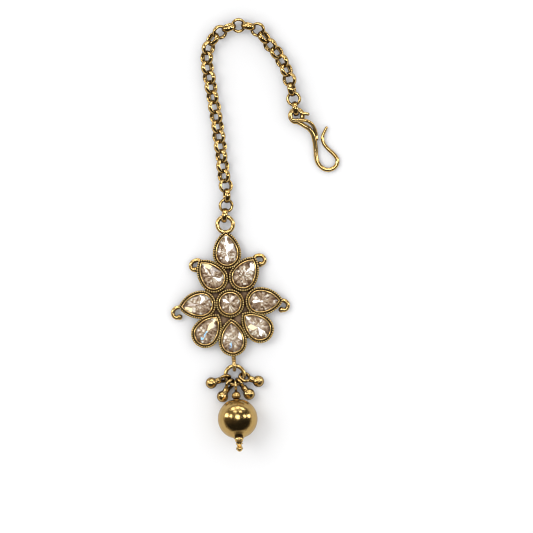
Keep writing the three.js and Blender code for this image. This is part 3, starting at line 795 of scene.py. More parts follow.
SCUFF_DULLING = 0.12
TARNISH_AND_SHADE_DULLING = 0.3


def metal(name, tones, spread, rough, lump, bump, metallic=1.0):
    """Plated brass: bright and warm gold in patches, patina with painted shade where shut in, and the bumps
    of its casting.
    A negative spread draws the patina and painted shade back. Lumps and bumps are in millimetres."""
    material = bpy.data.materials.new(name)
    material.use_nodes = True
    tree = material.node_tree
    shader = tree.nodes["Principled BSDF"]
    shader.inputs["Metallic"].default_value = metallic
    tarnish_and_shade = add(tree, "ShaderNodeGroup", node_tree=tarnish_and_shade_group)
    tree.links.new(attribute(tree, "shade_and_tarnish"), tarnish_and_shade.inputs["Shade And Tarnish"])
    tarnish_and_shade.inputs["Spread"].default_value = spread
    casting = add(tree, "ShaderNodeGroup", node_tree=casting_group)
    casting.inputs["Lump Scale"].default_value = 1 / (lump * MM)
    gold = mix(tree, tarnish_and_shade.outputs["Patches"], tones["bright"], tones["warm"])
    colour = mix(tree, tarnish_and_shade.outputs["Dark"], gold, tones["dark"])
    tree.links.new(colour, shader.inputs["Base Color"])
    scuffed = calc(tree, "MULTIPLY", casting.outputs["Dulling"], SCUFF_DULLING)
    dulled = calc(tree, "ADD", scuffed, calc(tree, "MULTIPLY", tarnish_and_shade.outputs["Dark"], TARNISH_AND_SHADE_DULLING))
    tree.links.new(calc(tree, "ADD", dulled, rough), shader.inputs["Roughness"])
    relief = {"Height": casting.outputs["Height"], "Distance": bump * MM, "Strength": 1.0}
    tree.links.new(add(tree, "ShaderNodeBump", relief).outputs["Normal"], shader.inputs["Normal"])
    return material


# The dark of patina and of painted shade, in shut-in places, on sides and near the table
TARNISH_AND_SHADE = (0.075, 0.035, 0.01)
GOLD = {"bright": (0.94, 0.65, 0.26), "warm": (0.78, 0.51, 0.17), "dark": TARNISH_AND_SHADE}
# A lighter copy of the gold for the milgrain beads: a painted highlight, so that they read as lit
LIT_GRAIN_GOLD = {"bright": (1.0, 0.72, 0.28), "warm": (1.0, 0.64, 0.2), "dark": TARNISH_AND_SHADE}
BALL_GOLD = {"bright": (0.64, 0.44, 0.17), "warm": (0.58, 0.38, 0.14), "dark": TARNISH_AND_SHADE}
# The back plate's tones: the same metal painted dark, as painted shade in the gaps between the cups
SHADED_PLATE_TONES = {"bright": (0.24, 0.16, 0.10), "warm": (0.13, 0.08, 0.05), "dark": (0.04, 0.022, 0.013)}

antique_gold = metal("antique_gold", GOLD, spread=-0.04, rough=0.13, lump=0.5, bump=0.02, metallic=0.92)
cup_gold = metal("cup_gold", GOLD, spread=0, rough=0.16, lump=0.5, bump=0.01, metallic=0.8)
grain_gold = metal("grain_gold", LIT_GRAIN_GOLD, spread=-0.06, rough=0.3, lump=0.5, bump=0.005, metallic=0.62)
chain_gold = metal("chain_gold", GOLD, spread=0.05, rough=0.13, lump=0.4, bump=0.02)
bead_gold = metal("bead_gold", GOLD, spread=0.16, rough=0.13, lump=0.5, bump=0.08)
ball_gold = metal("ball_gold", BALL_GOLD, spread=-0.75, rough=0.12, lump=1.8, bump=0.06)
# The back plate's finish: painted shade between the cups
shaded_plate = metal("shaded_plate", SHADED_PLATE_TONES, spread=-0.1, rough=0.34, lump=0.8, bump=0.02)

# Facets seen through a stone: so many spokes about a point beside its heart, and rings a millimetre
INNER_FACETS = {
    "wedges": {"spokes": 36, "rings": 0.8, "shift": 0.5, "aside": (0, 0, 0)},
    "slivers": {"spokes": 19, "rings": 1.5, "shift": 0.3, "aside": (0.5, -0.4, 0)},
    "chips": {"spokes": 26, "rings": 2.4, "shift": 0.4, "aside": (-0.3, 0.4, 0)},
}
STONE_SHARES = {"facet": 0.22, "wedges": 0.46, "slivers": 0.36}  # in a stone's tone
PAINTED_SPARKLES = {"power": 7, "share": 0.6}  # painted sparkles: the brightest chips, made brighter
PITS = {"power": 9, "share": 0.45}  # the darkest ones
LIP_SHADE = {"from": 0.55, "to": 1.0, "share": 0.4}
CHAMPAGNE_TONES = [
    (0.12, (0.13, 0.07, 0.038)),
    (0.32, (0.28, 0.175, 0.105)),
    (0.52, (0.42, 0.30, 0.195)),
    (0.72, (0.66, 0.51, 0.35)),
    (0.86, (1.0, 0.95, 0.82)),
]
CHAMPAGNE_GLASS = {
    "Roughness": 0.04,
    "IOR": 1.55,
    "Transmission Weight": 0.2,
    "Coat Weight": 0.3,
    "Coat Roughness": 0.02,
    # the glow of the painted glints
    "Emission Strength": 0.5,
}


def inner_facets(tree, spokes, rings, shift, aside):
    """A random tone for each of the wedges that meet beside the stone's heart."""
    plan = attribute(tree, "plan", "Vector")
    plan = add(tree, "ShaderNodeVectorMath", {0: plan, 1: aside}, operation="ADD").outputs["Vector"]
    axes = add(tree, "ShaderNodeSeparateXYZ", {"Vector": plan}).outputs
    angle = calc(tree, "ARCTAN2", axes["Y"], axes["X"])
    square = calc(tree, "ADD", calc(tree, "POWER", axes["X"], 2), calc(tree, "POWER", axes["Y"], 2))
    band = calc(tree, "FLOOR", calc(tree, "MULTIPLY", calc(tree, "SQRT", square), rings))
    spoke = calc(tree, "MULTIPLY", angle, spokes / (2 * math.pi))
    wedge = calc(tree, "FLOOR", calc(tree, "ADD", spoke, calc(tree, "MULTIPLY", band, shift)))
    cell = add(tree, "ShaderNodeCombineXYZ", {"X": wedge, "Y": band, "Z": axes["Z"]}).outputs["Vector"]
    return add(tree, "ShaderNodeTexWhiteNoise", {"Vector": cell}, noise_dimensions="3D").outputs["Value"]


def stone_tone(tree, wedges, slivers, chips):
    """A spot's tone: its facet, what shows through the stone, painted sparkles and pits, and the lip's
    shade.
    """
    facet = calc(tree, "MULTIPLY", attribute(tree, "tone"), STONE_SHARES["facet"])
    deep = calc(tree, "MULTIPLY", wedges, STONE_SHARES["wedges"])
    deep = calc(tree, "ADD", deep, calc(tree, "MULTIPLY", slivers, STONE_SHARES["slivers"]))
    painted_sparkles = calc(tree, "MULTIPLY", calc(tree, "POWER", chips, PAINTED_SPARKLES["power"]), PAINTED_SPARKLES["share"])
    darkness = calc(tree, "SUBTRACT", 1.0, chips)
    pits = calc(tree, "MULTIPLY", calc(tree, "POWER", darkness, PITS["power"]), PITS["share"])
    mixed = calc(tree, "ADD", calc(tree, "ADD", facet, deep), painted_sparkles)
    mixed = calc(tree, "SUBTRACT", mixed, pits)
    rim = attribute(tree, "rim")
    under_lip = spread_out(tree, rim, LIP_SHADE["from"], LIP_SHADE["to"], LIP_SHADE["share"])
    return calc(tree, "SUBTRACT", mixed, under_lip)


def champagne(name):
    """Foiled champagne glass: each facet has a tone of its own, and listed facets are painted with glints
    that glow.
    """
    material = bpy.data.materials.new(name)
    material.use_nodes = True
    tree = material.node_tree
    shader = tree.nodes["Principled BSDF"]
    for socket, value in CHAMPAGNE_GLASS.items():
        shader.inputs[socket].default_value = value
    wedges, slivers, chips = (inner_facets(tree, **row) for row in INNER_FACETS.values())
    body = ramp(tree, stone_tone(tree, wedges, slivers, chips), CHAMPAGNE_TONES)
    # Painted glints: listed facets take a glint colour as base and glow in it
    painted_light_colour = attribute(tree, "painted_light_colour", "Color")
    lit = calc(tree, "GREATER_THAN", attribute(tree, "painted_light_share"), slivers)
    tree.links.new(mix(tree, lit, body, painted_light_colour), shader.inputs["Base Color"])
    tree.links.new(mix(tree, lit, (0, 0, 0), painted_light_colour), shader.inputs["Emission Color"])
    return material


champagne_glass = champagne("champagne_glass")


# The flower: back plate, cups, borders and stones

def plate_outline():
    """The back plate runs from petal to petal in bows that stand out a little between them."""
    order = sorted(petals.values(), key=lambda petal: math.atan2(petal["centre"].y, petal["centre"].x))
    points = []
    for petal, after in zip(order, order[1:] + order[:1]):
        start = petal["centre"]
        end = after["centre"]
        middle = (start + end) / 2
        bulged = middle + middle.normalized() * 2 * WEB_BULGE
        for n in range(BOW_STEPS):
            share = n / BOW_STEPS
            points.append(start * (1 - share) ** 2 + bulged * 2 * share * (1 - share) + end * share**2)
    return points


def back_plate():
    piece = outline_face(plate_outline(), 0)
    to_edit()
    bpy.ops.mesh.select_all(action="SELECT")
    bpy.ops.mesh.extrude_region_move(TRANSFORM_OT_translate={"value": (0, 0, PLATE_THICKNESS)})
    bpy.ops.mesh.select_all(action="SELECT")
    bpy.ops.mesh.normals_make_consistent(inside=False)
    to_object()
    return evened(piece, PLATE_GRAIN)


def scroll(row):
    """A curl that grows from a petal's tip, tightens to its side and ends in a bead."""
    petal = petals[row["petal"]]
    tip = tip_of(petal)
    line = petal["tip_line"] + row["side"] * row["bearing"]
    centre = tip + bearing(line, row["reach"])
    points = [tip - bearing(petal["tip_line"], 2 * SOLDER_DEPTH)]
    for part in range(SCROLL_STEPS + 1):
        share = part / SCROLL_STEPS
        radius = row["end"] + (row["reach"] - row["end"]) * (1 - share) ** SCROLL_TIGHTENS
        points.append(centre + bearing(line + 180 + row["side"] * row["turn"] * share, radius))
    points = [Vector((point.x, point.y, PLATE_THICKNESS)) for point in points]
    curl = wire(points, SCROLL_WIRE - INSET / 2, SCROLL_WIRE - INSET, steps=48)
    return melted([curl, ball(SCROLL_BALL, points[-1])], SCROLL_GRAIN)


def settle_gold(piece, name, matrix, node, metal_material=antique_gold):
    return settle(piece, name, matrix, metal_material, "antique_gold", node)


def settle_stone(piece, name, matrix):
    return settle(piece, "cut_" + name, matrix, champagne_glass, "champagne_stone", name)


settle_gold(back_plate(), "back_plate", FLOWER, "setting", shaded_plate)

pear_cup = cup_body(PEAR, pear_outline)
pear_grain = milgrain(PEAR, pear_outline)
pear_stone = cut_stone(PEAR, pear_outline)
for petal_name, petal in petals.items():
    place = petal_matrix(petal)
    settle_gold(copied(pear_cup), "cup_" + petal_name, place, "setting", cup_gold)
    settle_gold(copied(pear_grain), "border_" + petal_name, place, "setting", grain_gold)
    settle_stone(copied(pear_stone), "stone_" + petal_name, place)
for pattern in (pear_cup, pear_grain, pear_stone):
    bpy.data.objects.remove(pattern)
settle_gold(cup_body(ROUND, round_outline), "cup_centre", FLOWER, "setting", cup_gold)
settle_gold(milgrain(ROUND, round_outline), "border_centre", FLOWER, "setting", grain_gold)
settle_stone(cut_stone(ROUND, round_outline), "stone_centre", FLOWER)
for row in SCROLLS:
    settle_gold(scroll(row), "scroll_" + row["petal"], FLOWER, "setting")

# The chain's ring at the top, and the stem with its eye at the bottom
chain_height = LINK["outer"] + FLOOR_GAP
ring_centre = tip_of(petals["top"]) + bearing(90, TOP_RING["radius"] - SOLDER_DEPTH)
ring_centre.z = chain_height
ring_place = FLOWER @ Matrix.Translation(ring_centre)
settle_gold(smooth_all(ring(**TOP_RING)), "top_ring", ring_place, "setting")

EYE_HEIGHT = EYE["radius"] + EYE["wire"] + 2 * FLOOR_GAP
stem_start = petals["bottom"]["centre"] + bearing(-90, pear_edge - SOLDER_DEPTH)
eye_centre = stem_start + bearing(-90, SOLDER_DEPTH + STEM["length"] + EYE["radius"] + EYE["wire"])
eye_centre.z = EYE_HEIGHT


def stem():
    """A waisted neck with three raised collars, spun about its own length."""
    length = SOLDER_DEPTH + STEM["length"] + EYE["wire"]
    radius = STEM["radius"]
    waist = radius * STEM_COLLARS["waist"]
    profile = [(0, 0), (radius, 0), (radius * STEM_FOOT["radius"], length * STEM_FOOT["height"])]
    for collar in STEM_COLLARS["at"]:
        profile.append((waist, length * (collar - STEM_COLLARS["rise"])))
        profile.append((radius, length * (collar - STEM_COLLARS["half"])))
        profile.append((radius, length * (collar + STEM_COLLARS["half"])))
    profile += [(waist, length), (0, length)]
    piece = turned(profile, steps=28)
    modify(piece, "BEVEL", width=SOFT_EDGE, segments=2, limit_method="ANGLE")
    return smooth_by_angle(piece, 50)


stem_place = Matrix.Translation((stem_start.x, stem_start.y, EYE_HEIGHT)) @ turn_about("X", 90)
settle_gold(stem(), "stem", FLOWER @ stem_place, "setting")
eye_place = FLOWER @ Matrix.Translation(eye_centre) @ turn_about("Y", 90)
settle_gold(smooth_all(ring(**EYE)), "stem_eye", eye_place, "setting")


# The chain

link_inner = (LINK["outer"] - LINK["thickness"]) * math.cos(math.pi / LINK["sides"])
link_pitch = 2 * link_inner + LINK_BITE


def walk_chain(start):
    """Links' centres and rolls at one pitch along the route, odd in number."""
    line = [start + Vector((row["x"], row["y"], 0)) for row in CHAIN_ROUTE]
    rolls = [row["roll"] for row in CHAIN_ROUTE]
    stops = []
    for n in range(ROUTE_STEPS + 1):
        point = catmull(line, n / ROUTE_STEPS)
        if stops and (point - stops[-1][0]).length < link_pitch:
            continue
        place = n / ROUTE_STEPS * (len(rolls) - 1)
        low = min(int(place), len(rolls) - 2)
        stops.append((point, between(rolls[low], rolls[low + 1], place - low)))
    return stops if len(stops) % 2 else stops[:-1]


first_reach = TOP_RING["radius"] - TOP_RING["wire"] + link_inner - RING_SLACK
chain_start = turn_about("Z", LEAN) @ (ring_centre + bearing(90, first_reach))
chain_start.z = 0
chain_stops = walk_chain(chain_start)
chain_end_line = (chain_stops[-1][0] - chain_stops[-2][0]).normalized()


def chain():
    """Belcher links: low wide bands, standing and lying in turn."""
    thickness = LINK["thickness"] + LINK_FULLER
    link = ring(LINK["outer"] - INSET - thickness / 2, thickness / 2, around=36, section=12)
    link.scale.z = (LINK["width"] + LINK_FULLER) / thickness
    bake_place(link)
    smooth_all(link)
    places = []
    for n, (point, roll) in enumerate(chain_stops):
        before = chain_stops[max(n - 1, 0)][0]
        after = chain_stops[min(n + 1, len(chain_stops) - 1)][0]
        along = after - before
        standing = 90 if n % 2 == 0 else 0
        turn = Matrix.Rotation(math.atan2(along.y, along.x), 4, "Z")
        place = Matrix.Translation((point.x, point.y, chain_height))
        places.append(place @ turn @ turn_about("X", standing + roll))
    return along_places(link, places)


settle_gold(chain(), "chain_links", TIKKA, "chain", chain_gold)

# The hook
hook_reach = HOOK_EYE + link_inner - HOOK_WIRE - HOOK_SLACK
hook_eye = chain_stops[-1][0] + chain_end_line * hook_reach
turn_step = HOOK_WIRE + WRAP_WIRE - WRAP_SOLDER
hook_eye_height = chain_height - turn_step + HOOK_WIRE - WRAP_SOLDER / 2
HOOK_PLACE = TIKKA @ Matrix.Translation((hook_eye.x, hook_eye.y, 0))


def eye_turns(turn, radius, height):
    angles = range(turn["from"], turn["to"] - 1, -turn["step"])
    return [bearing(angle, radius) + Vector((0, 0, height)) for angle in angles]


def hook_wire():
    line = []
    for n, (x, y) in enumerate(HOOK_LINE):
        rise = smooth_step(n, len(HOOK_LINE) - RISING_POINTS, len(HOOK_LINE) - 1)
        line.append(Vector((x, y, between(HOOK_WIRE, hook_eye_height, rise))))
    line += eye_turns(EYE_TURN, HOOK_EYE, hook_eye_height)
    return wire(line[::-1], HOOK_WIRE - INSET, HOOK_TIP, steps=220, taper=HOOK_TAPER)


def hook_wrap():
    high = hook_eye_height + turn_step
    line = []
    for n, (x, y) in enumerate(WRAP_LINE):
        rise = smooth_step(n, 1, len(WRAP_LINE) - 2)
        line.append(Vector((x, y, between(HOOK_WIRE + WRAP_WIRE / 2, high, rise))))
    line += eye_turns(WRAP_TURN, WRAP_EYE, high)
    line.append(Vector((*WRAP_STUB, high)))
    return wire(line, WRAP_WIRE, WRAP_WIRE, steps=120)


settle_gold(hook_wire(), "hook_wire", HOOK_PLACE, "hook")
settle_gold(hook_wrap(), "hook_wrap", HOOK_PLACE, "hook")

# Jump ring and small drops
eye_slack = EYE["radius"] - EYE["wire"] - JUMP_RING["wire"] - LOOP_CLEARANCE
drops_centre = eye_centre + bearing(-90, JUMP_RING["radius"] + eye_slack)
DROPS = FLOWER @ Matrix.Translation(drops_centre)
settle_gold(smooth_all(ring(**JUMP_RING)), "jump_ring", DROPS, "drop_jump_ring")


def small_drop(row, number):
    """A cast drop: its loop, a cone neck and a ball, run together and a little rough."""
    loop = ring(LOOP["radius"], LOOP["wire"])
    loop.matrix_world = turn_about("X", 90 + row["tilt"])
    neck_start = LOOP["radius"]
    neck_end = LOOP["radius"] + LOOP["wire"] + SMALL_DROP["neck"]
    neck = turned(
        [
            (0, neck_start),
            (SMALL_DROP["neck_thin"], neck_start),
            (SMALL_DROP["neck_thin"], neck_start + LOOP["wire"]),
            (SMALL_DROP["neck_wide"], neck_end + SMALL_DROP["neck_sink"]),
            (0, neck_end + SMALL_DROP["neck_sink"]),
        ],
        steps=24,
    )
    neck.matrix_world = turn_about("Y", 90)
    body = ball(SMALL_DROP["ball"] * DROP_BALL_SHARE, (neck_end + SMALL_DROP["ball"], 0, 0))
    whole = melted([body, neck, loop], DROP_GRAIN)
    return lumpy(whole, DROP_LUMPS["strength"], DROP_LUMPS["size"] + DROP_LUMPS["size_step"] * number)


loop_slack = LOOP["radius"] - LOOP["wire"] - JUMP_RING["wire"] - LOOP_CLEARANCE
for number, row in enumerate(SMALL_DROPS):
    spot = bearing(row["at"], JUMP_RING["radius"]) + bearing(row["points"], loop_slack * row["slack"])
    place = DROPS @ Matrix.Translation(spot) @ turn_about("Z", row["points"])
    settle_gold(small_drop(row, number), "cast_" + row["name"], place, row["name"], bead_gold)

# Main drop, along its pin
loop_outer = MAIN_DROP["loop"] + PIN_WIRE
top_bead_at = loop_outer + STACK_GAP + TOP_BEAD
ball_at = top_bead_at + TOP_BEAD + STACK_GAP + BALL["radius"]
cap_bead_at = ball_at + BALL["mouth_at"] - CAP_SEAT + CAP_BEAD
tip_bead_at = cap_bead_at + CAP_BEAD + TIP_NECK + TIP_BEAD
main_slack = MAIN_DROP["loop"] - PIN_WIRE - JUMP_RING["wire"] - LOOP_CLEARANCE
main_spot = bearing(MAIN_DROP["at"], JUMP_RING["radius"]) + bearing(MAIN_DROP["points"], main_slack)
main_spot.z = MAIN_DROP["loop_rest"]
climb = math.degrees(math.asin((BALL["radius"] - EYE_HEIGHT - MAIN_DROP["loop_rest"]) / ball_at))
main_turn = turn_about("Z", MAIN_DROP["points"]) @ turn_about("Y", -climb)
MAIN = DROPS @ Matrix.Translation(main_spot) @ main_turn
ALONG_PIN = MAIN @ turn_about("Y", 90)


def round_arc(radius, centre, start, end, parts):
    """Points of a ball's half outline, from one angle off its lower pole to another."""
    angles = [math.radians(between(start, end, n / parts)) for n in range(parts + 1)]
    return [(radius * math.sin(a), centre - radius * math.cos(a)) for a in angles]


def ball_shell():
    """The big ball: round, with a short concave neck, a rolled mouth and the cap bead's seat."""
    hole_angle = math.degrees(math.asin(BALL["hole"] / BALL["radius"]))
    shoulder_angle = 90 + math.degrees(math.asin(BALL["shoulder"] / BALL["radius"]))
    profile = round_arc(BALL["radius"] - INSET, ball_at, hole_angle, shoulder_angle, parts=40)
    last_radius, last_height = profile[-1]
    mouth_height = ball_at + BALL["mouth_at"]
    length = mouth_height - last_height
    knots = [Vector((*profile[-2], 0)), Vector((last_radius, last_height, 0))]
    for row in BALL_NECK:
        radius = between(last_radius, BALL["mouth"], row["narrowed"])
        knots.append(Vector((radius, last_height + length * row["along"], 0)))
    knots.append(Vector((BALL["mouth"], mouth_height, 0)))
    steps = NECK_STEPS * (len(knots) - 1)
    neck = [catmull(knots, n / steps) for n in range(NECK_STEPS + 1, steps + 1)]
    profile += [(point.x, point.y) for point in neck]
    seat = CAP_BEAD + STACK_GAP
    seat_angle = math.degrees(math.acos((cap_bead_at - mouth_height) / seat))
    seat_hole_angle = math.degrees(math.asin(BALL["hole"] / seat))
    profile += round_arc(seat, cap_bead_at, seat_angle, seat_hole_angle, parts=8)
    piece = turned(profile, steps=72)
    return smooth_by_angle(piece, 50)


def threaded_bead(radius, at):
    """A drilled bead on the pin, with soft edges at its hole."""
    hole = PIN_WIRE + STACK_GAP
    hole_angle = math.degrees(math.asin(hole / radius))
    profile = round_arc(radius, at, hole_angle, 180 - hole_angle, parts=20)
    profile += [(hole, profile[-1][1]), (hole, profile[0][1])]
    piece = turned(profile, steps=36)
    return smooth_by_angle(piece, 50)


def pin():
    """Loop, straight wire, waisted collar and ball tip."""
    loop = ring(MAIN_DROP["loop"], PIN_WIRE)
    loop.matrix_world = turn_about("X", 90)
    start_piece()
    length = tip_bead_at - MAIN_DROP["loop"]
    bpy.ops.mesh.primitive_cylinder_add(vertices=20, radius=PIN_WIRE, depth=length)
    stem_wire = bpy.context.object
    stem_wire.location.z = MAIN_DROP["loop"] + length / 2
    bake_place(stem_wire)
    stem_wire.matrix_world = turn_about("Y", 90)
    collar_start = cap_bead_at + CAP_BEAD + STACK_GAP
    knots = [
        Vector((COLLAR["wide"], collar_start, 0)),
        Vector((COLLAR["thin"], collar_start + TIP_NECK / 2, 0)),
        Vector((COLLAR["wide"], tip_bead_at, 0)),
    ]
    waist = [catmull(knots, n / COLLAR_STEPS) for n in range(COLLAR_STEPS + 1)]
    profile = [(0, collar_start)] + [(point.x, point.y) for point in waist] + [(0, tip_bead_at)]
    collar = turned(profile, steps=32)
    collar.matrix_world = turn_about("Y", 90)
    tip = ball(TIP_BEAD - INSET, (tip_bead_at, 0, 0), segments=28)
    for part in (loop, stem_wire, collar, tip):
        bake_place(part)
    whole = joined([loop, stem_wire, collar, tip])
    return smooth_by_angle(whole, 50)


settle_gold(pin(), "head_pin_wire", MAIN, "head_pin")
settle(ball_shell(), "onion_ball", ALONG_PIN, ball_gold, "polished_gold", "ball_bead")
settle_gold(threaded_bead(TOP_BEAD, top_bead_at), "top_bead_turned", ALONG_PIN, "top_bead", bead_gold)
cap_bead = lumpy(threaded_bead(CAP_BEAD, cap_bead_at), **CAP_LUMPS)
settle_gold(cap_bead, "cap_bead_turned", ALONG_PIN, "ball_cap_bead", cup_gold)


# Tones of the stones' facets, and their painted glints

PAINTED_GLINT_COLOURS = {"white": (1.0, 0.98, 0.94), "cream": (1.0, 0.87, 0.52), "blue": (0.30, 0.62, 1.0)}
PAINTED_GLINT_SHARES = {"white": 0.72, "cream": 0.8, "blue": 0.45}  # how much of a facet with a painted glint is painted lit
# Which facets get a painted glint: the bearing of their middles from the heart (the tip's is 90), and how
# high they stand
PAINTED_GLINTS = [
    {"stone": "top", "bearing": 90, "spread": 14, "low": 0.0, "high": 1.0, "colour": "white"},
    {"stone": "top", "bearing": 262, "spread": 24, "low": 0.3, "high": 1.0, "colour": "white"},
    {"stone": "top", "bearing": 60, "spread": 20, "low": 0.5, "high": 1.0, "colour": "white"},
    {"stone": "upper_left", "bearing": 304, "spread": 16, "low": 0.25, "high": 1.0, "colour": "white"},
    {"stone": "upper_left", "bearing": 75, "spread": 9, "low": 0.0, "high": 0.6, "colour": "cream"},
    {"stone": "upper_right", "bearing": 80, "spread": 12, "low": 0.0, "high": 1.0, "colour": "white"},
    {"stone": "upper_right", "bearing": 200, "spread": 12, "low": 0.4, "high": 1.0, "colour": "cream"},
    {"stone": "left", "bearing": 327, "spread": 15, "low": 0.3, "high": 1.0, "colour": "white"},
    {"stone": "left", "bearing": 150, "spread": 15, "low": 0.45, "high": 1.0, "colour": "white"},
    {"stone": "left", "bearing": 107, "spread": 13, "low": 0.2, "high": 0.6, "colour": "cream"},
    {"stone": "right", "bearing": 271, "spread": 15, "low": 0.4, "high": 1.0, "colour": "white"},
    {"stone": "right", "bearing": 30, "spread": 12, "low": 0.5, "high": 1.0, "colour": "cream"},
    {"stone": "centre", "bearing": 146, "spread": 10, "low": 0.2, "high": 1.0, "colour": "white"},
    {"stone": "centre", "bearing": 20, "spread": 9, "low": 0.0, "high": 0.3, "colour": "cream"},
    {"stone": "lower_left", "bearing": 90, "spread": 14, "low": 0.0, "high": 1.0, "colour": "cream"},
    {"stone": "lower_left", "bearing": 270, "spread": 20, "low": 0.6, "high": 1.0, "colour": "blue"},
    {"stone": "lower_right", "bearing": 90, "spread": 8, "low": 0.0, "high": 0.3, "colour": "white"},
    {"stone": "lower_right", "bearing": 262, "spread": 22, "low": 0.55, "high": 1.0, "colour": "white"},
    {"stone": "lower_right", "bearing": 130, "spread": 14, "low": 0.3, "high": 0.6, "colour": "cream"},
    {"stone": "bottom", "bearing": 14, "spread": 16, "low": 0.3, "high": 1.0, "colour": "white"},
    {"stone": "bottom", "bearing": 245, "spread": 20, "low": 0.3, "high": 1.0, "colour": "blue"},
]

FACET_VALUES = [
    {"name": "plan", "type": "FLOAT_VECTOR", "domain": "CORNER"},
    {"name": "rim", "type": "FLOAT", "domain": "CORNER"},
    {"name": "tone", "type": "FLOAT", "domain": "FACE"},
    {"name": "painted_light_share", "type": "FLOAT", "domain": "FACE"},
    {"name": "painted_light_colour", "type": "FLOAT_COLOR", "domain": "FACE"},
]
DULLEST_FACET = 0.1


def painted_light_of(stone_name, bearing_from_heart, height):
    for row in PAINTED_GLINTS:
        apart = abs((bearing_from_heart - row["bearing"] + 180) % 360 - 180)
        if row["stone"] == stone_name and apart < row["spread"] and row["low"] <= height <= row["high"]:
            return row["colour"]
    return None


def facet_tones(piece, seed, place, stone):
    """Gives each facet its tone and painted glint, and each corner its place in plan from the stone's
    heart.
    """
    chance = random.Random(seed)
    mesh = piece.data
    for row in FACET_VALUES:
        mesh.attributes.new(**row)
    plan, rim, tone, painted_light_share, painted_light_colour = (mesh.attributes[row["name"]] for row in FACET_VALUES)
    back = (Matrix.Scale(MM, 4) @ place).inverted()
    foot = cup_levels(stone)["girdle_top"]
    stone_name = piece.name.removeprefix("cut_stone_")
    for corner in mesh.loops:
        spot = back @ mesh.vertices[corner.vertex_index].co
        plan.data[corner.index].vector = (spot.x, spot.y - stone["heart"], seed)
        rim.data[corner.index].value = 1 - (spot.z - foot) / stone["pavilion"]
    for face in mesh.polygons:
        tone.data[face.index].value = chance.uniform(DULLEST_FACET, 1.0)
        middle = back @ face.center
        line = math.degrees(math.atan2(middle.y - stone["heart"], middle.x))
        # Listed facets get a painted glint: a lit share and its colour
        colour = painted_light_of(stone_name, line, (middle.z - foot) / stone["pavilion"])
        painted_light_share.data[face.index].value = PAINTED_GLINT_SHARES[colour] if colour else 0
        painted_light_colour.data[face.index].color = (*PAINTED_GLINT_COLOURS[colour or "white"], 1)


stones = ["cut_stone_centre"]
facet_tones(bpy.data.objects["cut_stone_centre"], 0, FLOWER, ROUND)
for number, (petal_name, petal) in enumerate(petals.items(), 1):
    stones.append("cut_stone_" + petal_name)
    facet_tones(bpy.data.objects[stones[-1]], number, petal_matrix(petal), PEAR)


# Painted shade and patina: how shut in each point of the metal is, and how much it faces aside or down

RECESS_REACH = 1.5  # how far off a wall still shuts a point in
RAY_START = 0.02  # off the surface
RAY_RINGS = [{"count": 1, "lean": 0}, {"count": 5, "lean": 38}, {"count": 8, "lean": 66}]
SIDE_SHADE = {"share": 0.5, "power": 1.6}  # painted shade on what faces aside or down


def ray_directions():
    """Rays about the up direction, in rings that lean away from it."""
    directions = []
    for row in RAY_RINGS:
        aside = math.sin(math.radians(row["lean"]))
        rise = math.cos(math.radians(row["lean"]))
        for n in range(row["count"]):
            turn = 2 * math.pi * n / row["count"]
            directions.append(Vector((aside * math.cos(turn), aside * math.sin(turn), rise)))
    return directions


def jewel_and_table():
    """All that can shut a point in, in millimetres; the table is among it, so metal near the table gets
    painted shade.
    """
    corners = []
    faces = []
    for piece in metal_pieces + [bpy.data.objects[name] for name in stones]:
        first = len(corners)
        corners += [vertex.co / MM for vertex in piece.data.vertices]
        faces += [[first + index for index in face.vertices] for face in piece.data.polygons]
    low, high = cad_bounds
    first = len(corners)
    corners += [(x / MM, y / MM, 0) for x in (low[0], high[0]) for y in (low[1], high[1])]
    faces.append([first, first + 1, first + 3, first + 2])
    return BVHTree.FromPolygons(corners, faces)


def mark_shade_and_tarnish():
    """The more rays from a vertex meet the jewel or its table close by, the more patina and painted shade
    it gets.
    """
    directions = ray_directions()
    tree = jewel_and_table()
    up = Vector((0, 0, 1))
    for piece in metal_pieces:
        mesh = piece.data
        values = []
        for vertex in mesh.vertices:
            turn = up.rotation_difference(vertex.normal)
            start = vertex.co / MM + vertex.normal * RAY_START
            total = 0.0
            for direction in directions:
                ray = direction.copy()
                ray.rotate(turn)
                distance = tree.ray_cast(start, ray, RECESS_REACH)[3]
                if distance is not None:
                    total += 1 - distance / RECESS_REACH
            # Painted shade: faces that turn aside or down are darkened
            side = (1 - max(vertex.normal.z, 0)) ** SIDE_SHADE["power"]
            values.append(total / len(directions) + SIDE_SHADE["share"] * side)
        shade_and_tarnish = mesh.attributes.new("shade_and_tarnish", "FLOAT", "POINT")
        shade_and_tarnish.data.foreach_set("value", values)


mark_shade_and_tarnish()


# The picture's stage

TABLE_SIDE = 4  # metres
TABLE_WHITES = [(0.0, (0.86, 0.86, 0.86)), (1.0, (0.88, 0.88, 0.88))]
TABLE_IN_MIRRORS = (0.64, 0.62, 0.57)  # how bright the metal mirrors it
WALL_TONES = [(0.0, (0.012, 0.010, 0.009)), (0.35, (0.07, 0.058, 0.045)), (0.8, (0.22, 0.185, 0.14))]
TOWARD_LAMPS = (-0.45, 0.8, 0.3)
NEAR_TABLE = [(0.0, (1, 1, 1)), (0.16, (0.25, 0.25, 0.25)), (0.32, (0, 0, 0))]  # share by height
NEAR_TABLE_TONE = (0.40, 0.36, 0.31)
ROOM_LIGHT = (1.04, 1.04, 1.045)
KEY_LAMP = {"away": (-0.40, 0.16, 0.52), "size": (0.34, 0.34), "power": 1.1}


